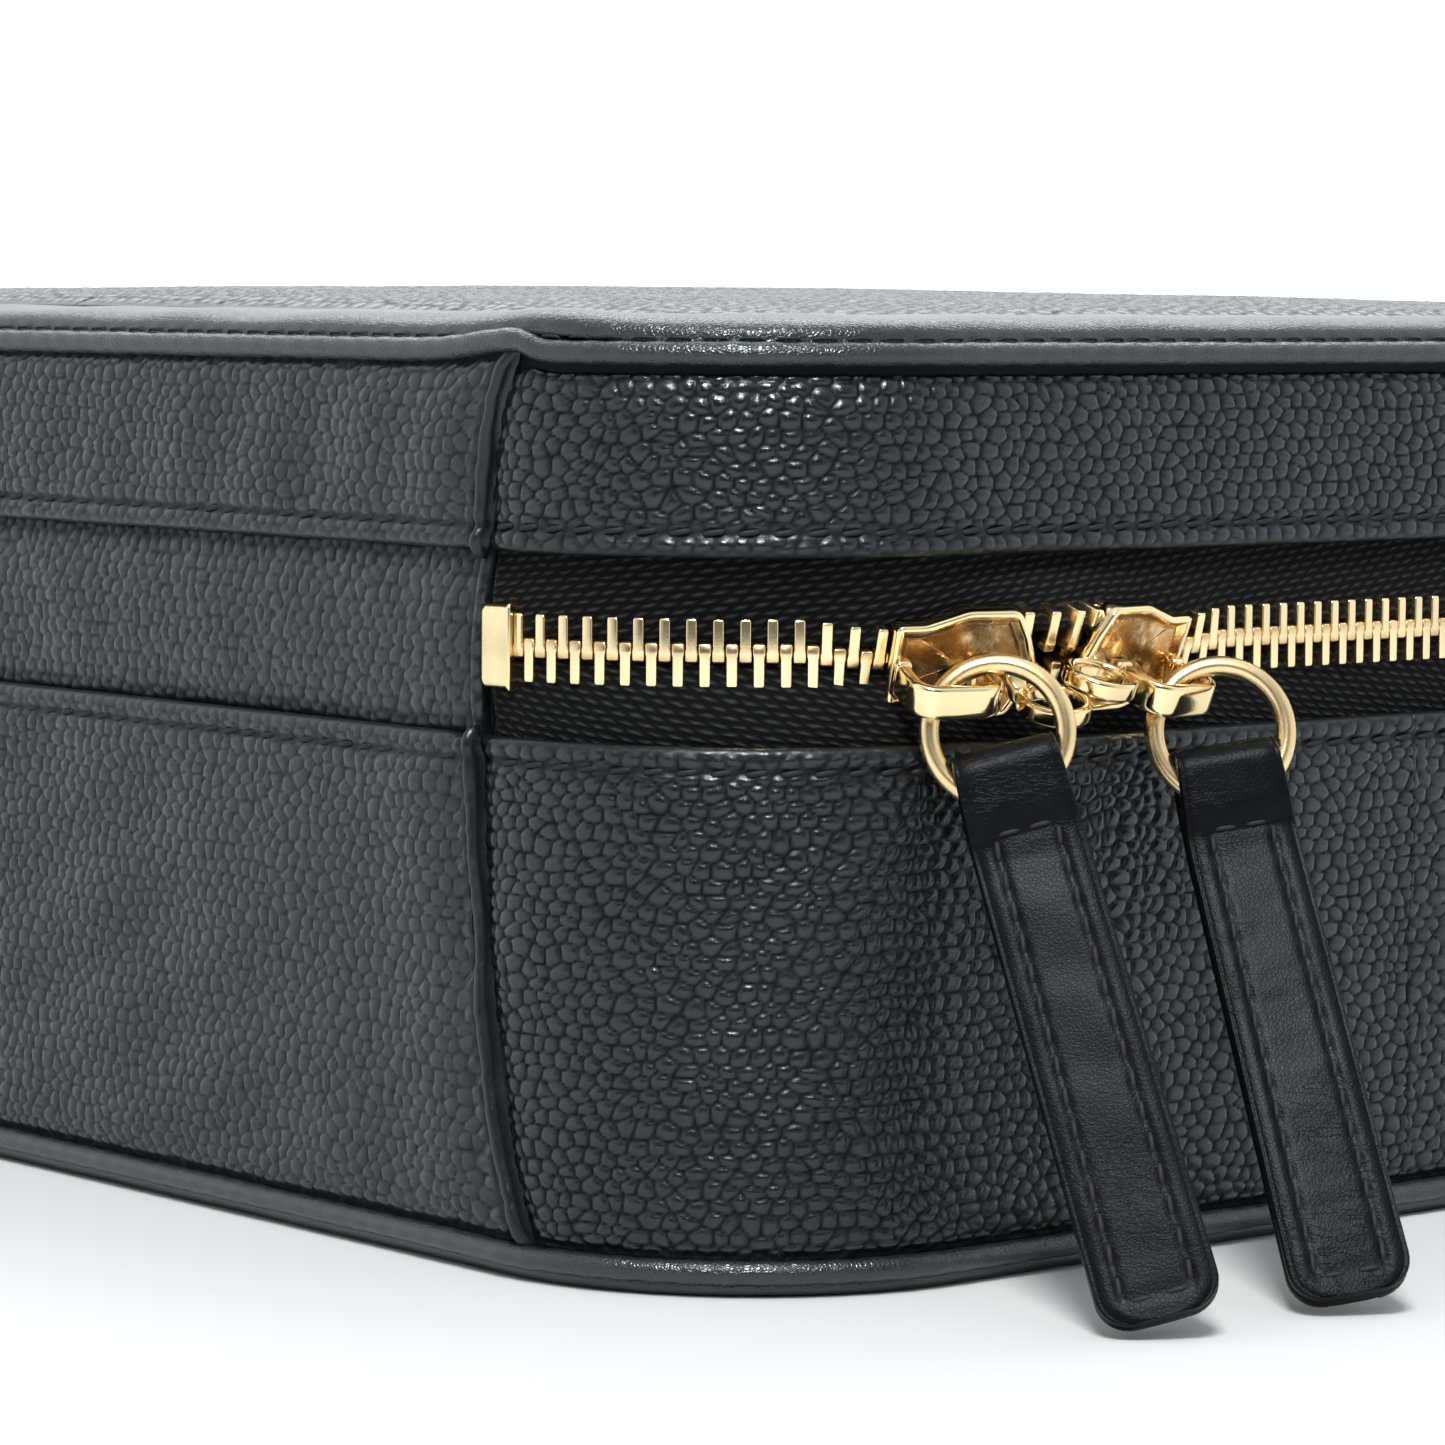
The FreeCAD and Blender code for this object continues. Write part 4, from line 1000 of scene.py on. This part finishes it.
# ---------------------------------------------------------------------------
# sliders
# ---------------------------------------------------------------------------
def rounded_poly(pts, n_arc=8):
    out = []
    m = len(pts)
    for i in range(m):
        x, y, r = pts[i]
        p = np.array([x, y])
        a = np.array(pts[i - 1][:2]) - p
        c = np.array(pts[(i + 1) % m][:2]) - p
        a, c = a / np.linalg.norm(a), c / np.linalg.norm(c)
        ang = math.acos(np.clip(a @ c, -1, 1))
        d = r / math.tan(ang / 2)
        mid = (a + c) / np.linalg.norm(a + c)
        ctr = p + mid * (r / math.sin(ang / 2))
        p0, p1 = p + a * d, p + c * d
        w0 = math.atan2(*(p0 - ctr)[::-1])
        w1 = math.atan2(*(p1 - ctr)[::-1])
        dw = (w1 - w0 + math.pi) % (2 * math.pi) - math.pi
        out += [ctr + r * np.array([math.cos(w0 + dw * k / n_arc), math.sin(w0 + dw * k / n_arc)]) for k in range(n_arc + 1)]
    return np.array(out)


def even(pts, n):
    q = np.concatenate([pts, pts[:1]])
    s = np.r_[0, np.cumsum(np.linalg.norm(np.diff(q, axis=0), axis=1))]
    u = np.linspace(0, s[-1], n, endpoint=False)
    return np.stack([np.interp(u, s, q[:, 0]), np.interp(u, s, q[:, 1])], -1)


def drawn_in(pts, d):
    """closed outline (counter-clockwise) offset inwards"""
    t = np.roll(pts, -1, 0) - np.roll(pts, 1, 0)
    t = t / np.linalg.norm(t, axis=1, keepdims=True)
    return pts + np.stack([-t[:, 1], t[:, 0]], -1) * d


OUT = [(-6.85, -3.75, 0.6), (-4.2, -3.75, 3.0), (-0.3, -5.0, 3.0), (4.6, -5.0, 1.2), (5.9, -2.6, 2.0), (6.85, 0.0, 0.6)]
OUT = OUT + [(u, -v, r) for u, v, r in OUT[-2::-1]]
PLATE = even(rounded_poly(OUT, 10), 200)


def plate_rings(front):
    rings, pat = [], []
    if front:
        spec = [(0.9, 1.42, 0), (0.55, 1.40, 0), (0.45, 0.62, 0), (0.08, 0.58, 0), (0.0, 0.68, 0), (0.0, 2.12, 0), (0.05, 2.28, 0), (0.16, 2.40, 0), (0.34, 2.44, 0.0), (0.56, 2.42, 0.05), (0.72, 2.32, 0.3), (0.95, 2.02, 0.6), (1.2, 1.78, 0.8), (1.5, 1.68, 0.9)]
    else:
        spec = [(0.9, -1.42, 0), (0.55, -1.40, 0), (0.45, -0.62, 0), (0.08, -0.58, 0), (0.0, -0.68, 0), (0.0, -2.1, 0), (0.1, -2.32, 0), (0.35, -2.4, 0)]
    for d, n, p in spec:
        c = drawn_in(PLATE, d) * (1.0 if front else np.array([0.97, 0.80]))
        rings.append(np.c_[c, np.full(len(c), n)])
        pat.append(np.full(len(c), p))
    c = rings[-1].copy()
    mid = c.mean(0)
    for k in (0.75, 0.45, 0.18):
        e = mid + (c - mid) * k
        e[:, 2] = c[:, 2] + (0.10 * (1 - k) if front else -0.05 * (1 - k))
        rings.append(e)
        pat.append(np.full(len(c), 0.95 if front else 0.2))
    return np.array(rings), np.array(pat)


def tube(path, nrm_, binm, sec):
    """section (x along nrm, y along binm) along a path"""
    return path[:, None, :] + sec[None, :, 0:1] * nrm_[:, None, :] + sec[None, :, 1:2] * binm[:, None, :]


def block(u0, u1, v0, v1, n0, n1, r=0.3):
    c = rrect((u1 - u0) / 2, (v1 - v0) / 2, min(r, (u1 - u0) / 2.1, (v1 - v0) / 2.1), 4)
    ctr = np.array([(u0 + u1) / 2, (v0 + v1) / 2])
    rows = []
    for k, n in ((1.0, n0), (1.0, n1 - r), (0.97, n1 - r * 0.5), (0.90, n1 - r * 0.13), (0.80, n1)):
        rows.append(np.c_[ctr + c * k, np.full(len(c), n)])
    return np.array(rows)


def slider(side, s0, sg, eye_v, bail_v):
    o, t, v, n = (x[0] for x in zip_frame(np.array([s0])))
    u = t * sg
    M = np.array([u, v, n])

    def put(L):
        return o + L @ M

    # put() mirrors the right slider, so its faces turn round
    fl = sg < 0
    bg = Bag()
    for front in (True, False):
        rings, pat = plate_rings(front)
        bg.grid(put(rings), close_c=True, cap0=True, cap1=True, flip=(not front) != fl, patina=pat)
    post = rounded_poly([(1.8, 0, 0.1), (3.4, -0.5, 0.3), (6.2, -0.5, 0.2), (6.5, 0, 0.1), (6.2, 0.5, 0.2), (3.4, 0.5, 0.3)], 3)
    bg.grid(put(np.array([np.c_[post, np.full(len(post), k)] for k in (-1.45, 0.0, 1.45)])), close_c=True, cap0=True, cap1=True, flip=fl, patina=0.3)
    # feet that hold the bail
    bg.grid(put(block(-6.75, -5.2, bail_v - 1.75, bail_v + 1.75, 1.6, 3.15, 0.45)), close_c=True, cap0=True, cap1=True, flip=fl, patina=0.05)
    bg.grid(put(block(0.5, 2.5, bail_v - 1.75, bail_v + 1.75, 1.6, 3.0, 0.45)), close_c=True, cap0=True, cap1=True, flip=fl, patina=0.05)
    # padlock eyelet on its arm
    w = np.linspace(0, 2 * np.pi, 72, endpoint=False)
    sec = rrect(0.45, 0.85, 0.40, 5)
    ctr = np.array([7.8, eye_v, 5.0])
    rad = np.stack([np.cos(w), np.zeros(72), np.sin(w)], -1)
    P = ctr + rad[:, None, :] * (2.85 + sec[None, :, 0:1]) + np.array([0, 1.0, 0]) * sec[None, :, 1:2]
    bg.grid(put(P), close_r=True, close_c=True, flip=not fl, patina=0.12)
    path = np.array([(5.0, eye_v * 0.55, 1.75), (5.15, eye_v * 0.8, 2.3), (5.35, eye_v * 0.95, 2.9), (5.6, eye_v, 3.5)])
    sizes = [(1.05, 1.25), (0.9, 0.98), (0.72, 0.84), (0.5, 0.8)]
    rows = [p + np.c_[rrect(a, b2, 0.42, 4), np.zeros(20)] for p, (a, b2) in zip(path, sizes)]
    bg.grid(put(np.array(rows)), close_c=True, cap0=True, cap1=True, flip=fl, patina=0.2)
    ob = bg.make("slider_%s_metal" % side, "slider_" + side, POLISHED)
    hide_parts("slider_%s_body" % side)
    # bail: strap bent into a D
    a0, a1, top, rc = -6.1, 1.4, 7.6, 1.75
    path, nr = [], []
    for k in np.linspace(2.0, top - rc, 6):
        path.append((a0, k)); nr.append((-1, 0))
    for w_ in np.linspace(math.pi, math.pi / 2, 12)[1:]:
        path.append((a0 + rc + rc * math.cos(w_), top - rc + rc * math.sin(w_))); nr.append((math.cos(w_), math.sin(w_)))
    for k in np.linspace(a0 + rc, a1 - rc, 12)[1:]:
        path.append((k, top)); nr.append((0, 1))
    for w_ in np.linspace(math.pi / 2, 0, 12)[1:]:
        path.append((a1 - rc + rc * math.cos(w_), top - rc + rc * math.sin(w_))); nr.append((math.cos(w_), math.sin(w_)))
    for k in np.linspace(top - rc, 2.0, 6)[1:]:
        path.append((a1, k)); nr.append((1, 0))
    path, nr = np.array(path), np.array(nr)
    sec = []
    for w_ in np.linspace(0, 2 * np.pi, 32, endpoint=False):
        c_, s_ = math.cos(w_), math.sin(w_)
        sec.append((0.58 * math.copysign(abs(c_) ** 0.55, c_), 1.47 * math.copysign(abs(s_) ** 0.42, s_)))
    sec = np.array(sec)
    P = np.zeros((len(path), len(sec), 3))
    P[..., 0] = path[:, None, 0] + nr[:, None, 0] * sec[None, :, 0]
    P[..., 2] = path[:, None, 1] + nr[:, None, 1] * sec[None, :, 0]
    P[..., 1] = bail_v + sec[None, :, 1]
    bl = Bag().grid(put(P), close_c=True, cap0=True, cap1=True, flip=fl, patina=0.0)
    ob = bl.make("slider_%s_bail_loop" % side, "slider_" + side, POLISHED)
    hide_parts("slider_%s_bail" % side)
    return o, t, v, n


# ---------------------------------------------------------------------------
# rings and leather pulls
# ---------------------------------------------------------------------------
RING_R, WIRE_R = 5.85, 0.9
FLEX, TAB = 9.6, 43.0
Z3 = np.array([0, 0, 1.0])


def head(a):
    a = math.radians(a)
    return np.r_[RGT * math.cos(a) + FWD * math.sin(a), 0], np.r_[RGT * math.sin(a) - FWD * math.cos(a), 0]


def pull(side, base, hang, heading, lean, turn, lift, seed):
    o, t, v, n = base
    top_ = o + t * hang[0] + v * hang[1] + n * hang[2]
    r0, n0 = head(heading)
    la, tu, li = (math.radians(x) for x in (lean, turn, lift))
    up = Z3 * math.cos(la) - n0 * math.sin(la)
    nn = n0 * math.cos(la) + Z3 * math.sin(la)
    c = top_ - up * RING_R
    w = np.linspace(0, 2 * np.pi, 120, endpoint=False)
    a = np.linspace(0, 2 * np.pi, 24, endpoint=False)
    rad = np.cos(w)[:, None] * r0 + np.sin(w)[:, None] * up
    P = c + rad[:, None, :] * (RING_R + WIRE_R * 0.99 * np.cos(a))[None, :, None] + nn * (WIRE_R * 0.99 * np.sin(a))[None, :, None]
    ob = Bag().grid(P, close_r=True, close_c=True, flip=True, patina=0.08).make("ring_%s_wire" % side, "ring_" + side, SATIN)
    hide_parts("ring_" + side)
    ll = -up * math.cos(tu) + r0 * math.sin(tu)
    ww = r0 * math.cos(tu) + up * math.sin(tu)
    l2 = ll * math.cos(li) + nn * math.sin(li)
    n2 = nn * math.cos(li) - ll * math.sin(li)
    flex = c + ll * FLEX

    def spine(l):
        """centre line of the pull: straight, one soft bend at the flex, straight"""
        l = np.asarray(l, float)
        k = smooth(FLEX - 3.2, FLEX + 3.2, l)
        g = np.linspace(-2, FLEX + TAB + 1, 1200)
        kk = smooth(FLEX - 3.2, FLEX + 3.2, g) * li
        d = np.cos(kk)[:, None] * ll + np.sin(kk)[:, None] * nn
        x = np.concatenate([[[0, 0, 0]], np.cumsum((d[1:] + d[:-1]) / 2 * (g[1] - g[0]), axis=0)])
        x = x - np.array([np.interp(FLEX, g, x[:, i]) for i in range(3)]) + flex
        x = x + (flex + l2 * TAB - np.array([np.interp(FLEX + TAB, g, x[:, i]) for i in range(3)])) * smooth(FLEX - 4, FLEX + 6, g)[:, None]
        q = np.stack([np.interp(l, g, x[:, i]) for i in range(3)], -1)
        ang = k * li
        return q, np.cos(ang)[..., None] * nn - np.sin(ang)[..., None] * ll

    # the strap runs up behind, over the ring and down in front; two layers sewn together below
    end = FLEX + TAB
    th = 0.66                                # half thickness of one layer

    def gap(l):
        return 0.72 + (1.62 - 0.72) * (1 - smooth(6.2, 9.4, l))

    dn = 0.5
    fold_l, fold_r = 1.0 + th + 0.02, 1.62
    back_l = np.r_[end - 2.9 * (1 - np.cos(np.linspace(0, np.pi / 2, 9)[:-1])), steps(end - 2.9, fold_l + 1.5, dn)]
    arc = np.linspace(0, np.pi, 22)[1:-1]
    path_l = np.r_[back_l, fold_l + 1.5 - 1.5 * np.sin(arc), back_l[::-1]]
    path_n = np.r_[-gap(back_l), -fold_r * np.cos(arc), gap(back_l[::-1])]
    front = np.r_[np.zeros(len(back_l)), np.linspace(0, 1, len(arc)), np.ones(len(back_l))]
    q, nm = spine(path_l)
    C = q + nm * path_n[:, None]
    T = np.gradient(C, axis=0)
    T = T / np.linalg.norm(T, axis=1, keepdims=True)
    Nn = np.cross(np.tile(ww, (len(C), 1)), T)
    Nn = Nn / np.linalg.norm(Nn, axis=1, keepdims=True)
    if np.dot(Nn[-5], n2) < 0:
        Nn = -Nn
    hw = np.interp(path_l, [1.0, 5.0, 9.6, end], [4.55, 4.75, 4.95, 5.3])
    rr = 2.8
    dl = np.clip(path_l - (end - rr), 0, rr)
    hw = hw - rr + np.sqrt(np.clip(rr ** 2 - dl ** 2, 0.0, None))
    # across: edge, face, edge, inner side
    nf = 44
    xf = np.sin(np.linspace(-np.pi / 2, np.pi / 2, nf))
    wf = np.linspace(-1, 1, nf) * 0.65 + xf * 0.35
    ea = np.linspace(0, np.pi, 9)
    X, Y = [], []
    for i in range(nf):
        X.append(wf[i]); Y.append(1.0)
    cross = np.c_[wf, np.ones(nf)]
    m = len(C)
    lw = 0.42
    sections = []
    for f in wf:
        sections.append((f, 1.0, 1.0))
    face_w = (hw - lw)[:, None] * wf[None, :]
    fr = front[:, None]
    L_ = path_l[:, None]
    # stitched rectangle: groove along the stitches, soft roll outside it, creases across
    inx = 2.25
    ex = (hw[:, None] - np.abs(face_w)) - inx
    el = np.minimum(L_ - (FLEX - 0.9), (end - 1.9) - L_)
    inside = np.minimum(ex, el)
    inside = np.where(el < -0.8, -9, inside)
    groove = bell(inside, 0.42) * (fr > 0.5)
    roll = 0.03 * bell(inside + 1.1, 0.8) * (fr > 0.5)
    crease = 0.03 * und(L_ * 1.0, face_w * 0.35, seed, 3.2) * smooth(FLEX - 1, FLEX + 3, L_) * smooth(-0.2, 1.5, inside)
    wr = -0.06 * np.abs(und(L_ * 1.2, face_w * 0.25, seed + 5, 2.2)) * bell(L_ - FLEX, 3.5)
    dish = 0.05 * und(L_, face_w, seed + 9, 14.0)
    out_ = np.clip((np.abs(face_w) - (hw[:, None] - lw - 1.35)) / 1.35, 0, 1)
    dd = -0.20 * groove * (0.75 + 0.25 * np.cos(2 * np.pi * L_ / 2.75)) + roll + crease + wr + dish - 0.30 * (1 - np.sqrt(1 - out_ ** 2 * 0.96))
    faceP = C[:, None, :] + ww * face_w[..., None] + Nn[:, None, :] * (th + dd)[..., None]
    edgeA, edgeB = [], []
    for k in ea[1:-1]:
        edgeA.append(C + ww * (hw - lw + lw * math.sin(k))[:, None] + Nn * (th * math.cos(k)))
        edgeB.append(C - ww * (hw - lw + lw * math.sin(k))[:, None] - Nn * (th * math.cos(k)))
    inner = [C + ww * ((hw - lw) * f)[:, None] - Nn * th for f in np.linspace(1, -1, 7)]
    full = np.concatenate([faceP, np.stack(edgeA, 1), np.stack(inner, 1), np.stack(edgeB, 1)], 1)
    nr, nc = full.shape[:2]
    qd = gridq(nr, nc, close_c=True)
    caps = [[k for k in range(nc)][::-1], [(nr - 1) * nc + k for k in range(nc)]]
    ob = add("pull_%s_leather" % side, full, qd, ngons=caps, mat=PULL)
    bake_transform(ob)
    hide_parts("pull_%s_loop" % side, "pull_%s_tab" % side)
    # stitches of the rectangle
    A, B, N = [], [], []
    x1 = lambda l: np.interp(l, [9.6, end], [4.95, 5.3]) - inx
    l_a, l_b = FLEX - 0.9, end - 1.9
    ln = l_b - l_a
    k = int(round(ln / 2.75))
    half = 1.0

    def at(l, x):
        q_, nm_ = spine(np.array([l]))
        return q_[0] + nm_[0] * (gap(l) + th - 0.14) + ww * x, nm_[0]

    for i in range(k):
        lc = l_a + ln * (i + 0.5) / k
        for sg in (-1, 1):
            p0, q0 = at(lc - half, sg * x1(lc) + 0.12)
            p1, q1 = at(lc + half, sg * x1(lc) - 0.12)
            A.append(p0); B.append(p1); N.append(q0)
    for l in (l_a, l_b):
        xw = x1(l)
        kk = 2
        for i in range(kk):
            xc = -xw + 2 * xw * (i + 0.5) / kk
            p0, q0 = at(l, xc - half * 1.05)
            p1, q1 = at(l, xc + half * 1.05)
            A.append(p0); B.append(p1); N.append(q0)
    stitches("pull_%s_stitches" % side, A, B, N, "pull_" + side, r=0.22, rise=0.05)


bl = slider("left", S_LEFT, 1, -2.7, -0.94)
br = slider("right", S_RIGHT, -1, -0.45, -1.8)
pull("left", bl, (1.3, 1.79, 5.85), -1.1, 9.7, 15.5, 14.4, 501)
pull("right", br, (5.9, 1.1, 7.15), 3.4, 13.0, 9.7, 16.9, 511)

# hinge lining inside the back
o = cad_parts["hinge_lining"]
zs_ = steps(44.4, 66.2, 0.8)
xs_ = steps(-84.4, 84.4, 2.0)
X, Zg = np.meshgrid(xs_, zs_)
F = np.stack([X, np.full(X.shape, HD - 3.65) - 0.1 * und(X, Zg, 601, 12.0), Zg], -1)
Bk = np.stack([X, np.full(X.shape, HD - 3.1), Zg], -1)[::-1]
full = np.concatenate([F, Bk], 0)
nr, nc = full.shape[:2]
caps = [[r * nc for r in range(nr)][::-1], [r * nc + nc - 1 for r in range(nr)]]
hl = add("hinge_lining_cloth", full, gridq(nr, nc, close_r=True, flip=True)[:, ::-1], ngons=[c_[::-1] for c_ in caps], mat=LINING)
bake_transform(hl)
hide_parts("hinge_lining")

# ---------------------------------------------------------------------------
# stage, light and camera
# ---------------------------------------------------------------------------
m, nt, b = shader("floor")
co = node(nt, "ShaderNodeTexCoord").outputs["Object"]
f = noise(nt, co, 3.0, 3.0)
# painted light: the floor's colour grows paler with distance from the case, making up for lamp light that does not
# reach the far floor, and is darker near the case
far_ = ramp(nt, math_(nt, "MULTIPLY", node(nt, "ShaderNodeVectorMath", {0: co}, operation="LENGTH").outputs["Value"], 0.4), [(0.16, 0.0), (0.8, 1.0)])
near_ = mixc(nt, f, (0.555, 0.56, 0.56, 1), (0.585, 0.59, 0.59, 1))
nt.links.new(mixc(nt, far_, near_, (0.93, 0.915, 0.90, 1)), b.inputs["Base Color"])
nt.links.new(math_(nt, "MULTIPLY_ADD", f, 0.1, 0.42), b.inputs["Roughness"])
q = 6000.0
floor = add("floor", [(-q, -q, -0.05), (q, -q, -0.05), (q, q, -0.05), (-q, q, -0.05)], [(0, 1, 2, 3)], mat=m)

world = bpy.data.worlds.new("studio")
bpy.context.scene.world = world
world.use_nodes = True
wt = world.node_tree
wb = wt.nodes["Background"]
wd = node(wt, "ShaderNodeTexCoord").outputs["Generated"]


def facing(v):
    v = np.asarray(v, float) / np.linalg.norm(v)
    n = node(wt, "ShaderNodeVectorMath", {0: wd, 1: tuple(v)}, operation="DOT_PRODUCT")
    return n.outputs["Value"]


# pale surround: white behind, paler sides, dim towards the open front of the studio
rear = math_(wt, "MULTIPLY", ramp(wt, facing(np.r_[FWD, 0.15]), [(0.05, 0.0), (0.45, 1.0)]), 1.2)
left = math_(wt, "MULTIPLY", ramp(wt, facing(np.r_[-RGT, 0.1]), [(0.45, 0.0), (0.9, 1.0)]), 1.2)
right = math_(wt, "MULTIPLY", ramp(wt, facing(np.r_[RGT, 0.1]), [(0.45, 0.0), (0.9, 1.0)]), 1.0)
above = math_(wt, "MULTIPLY", ramp(wt, facing((0, 0, 1)), [(0.3, 0.0), (0.85, 1.0)]), 0.95)
nt_strength = math_(wt, "ADD", math_(wt, "MAXIMUM", math_(wt, "MAXIMUM", rear, left), math_(wt, "MAXIMUM", right, above)), 0.10)
wt.links.new(nt_strength, wb.inputs[1])
wb.inputs[0].default_value = (0.945, 0.985, 1.02, 1)
bpy.context.scene.view_settings.view_transform = "Standard"

CAM = np.array([-CX, CY]) - 484.08 * FWD - 2.327 * RGT
PITCH_C, ROLL_C = 0.0804, 0.0067
f3 = np.r_[FWD * math.cos(PITCH_C), -math.sin(PITCH_C)]
u3 = np.r_[FWD * math.sin(PITCH_C), math.cos(PITCH_C)]
r3 = np.r_[RGT, 0]
cr_ = math.cos(ROLL_C) * r3 + math.sin(ROLL_C) * u3
cu_ = -math.sin(ROLL_C) * r3 + math.cos(ROLL_C) * u3
cam = bpy.data.objects.new("camera", bpy.data.cameras.new("camera"))
bpy.context.scene.collection.objects.link(cam)
cam.matrix_world = Matrix([[cr_[0], cu_[0], -f3[0], CAM[0] * MM], [cr_[1], cu_[1], -f3[1], CAM[1] * MM], [cr_[2], cu_[2], -f3[2], 86.11 * MM], [0, 0, 0, 1]])
cam.data.sensor_width = 36.0
cam.data.lens = 5402.3 / 1445 * 36.0
cam.data.clip_start = 0.01
cam.data.clip_end = 30.0
bpy.context.scene.camera = cam


def softbox(name, at, look, size, power):
    d = bpy.data.lights.new(name, "AREA")
    d.shape = "RECTANGLE"
    d.size, d.size_y = size
    d.energy = power
    ob = bpy.data.objects.new(name, d)
    bpy.context.scene.collection.objects.link(ob)
    at, look = np.array(at, float), np.array(look, float)
    z_ = at - look
    z_ = z_ / np.linalg.norm(z_)
    x_ = np.cross((0, 0, 1), z_)
    x_ = x_ / np.linalg.norm(x_)
    y_ = np.cross(z_, x_)
    ob.matrix_world = Matrix([[x_[0], y_[0], z_[0], at[0]], [x_[1], y_[1], z_[1], at[1]], [x_[2], y_[2], z_[2], at[2]], [0, 0, 0, 1]])
    return ob


C3 = np.array([-CX * MM, CY * MM, 0.05])


def place(right, back, up):
    return C3 + np.r_[RGT * right - FWD * back, up]


softbox("key_top", place(-0.04, 0.62, 0.82), C3, (0.26, 0.26), 14.0)
softbox("front_strip", place(0.05, 1.0, 0.66), C3, (0.17, 0.13), 1.5)
softbox("rear_top", place(0.0, -0.75, 0.75), C3, (1.1, 0.5), 6.0)

bpy.context.view_layer.update()
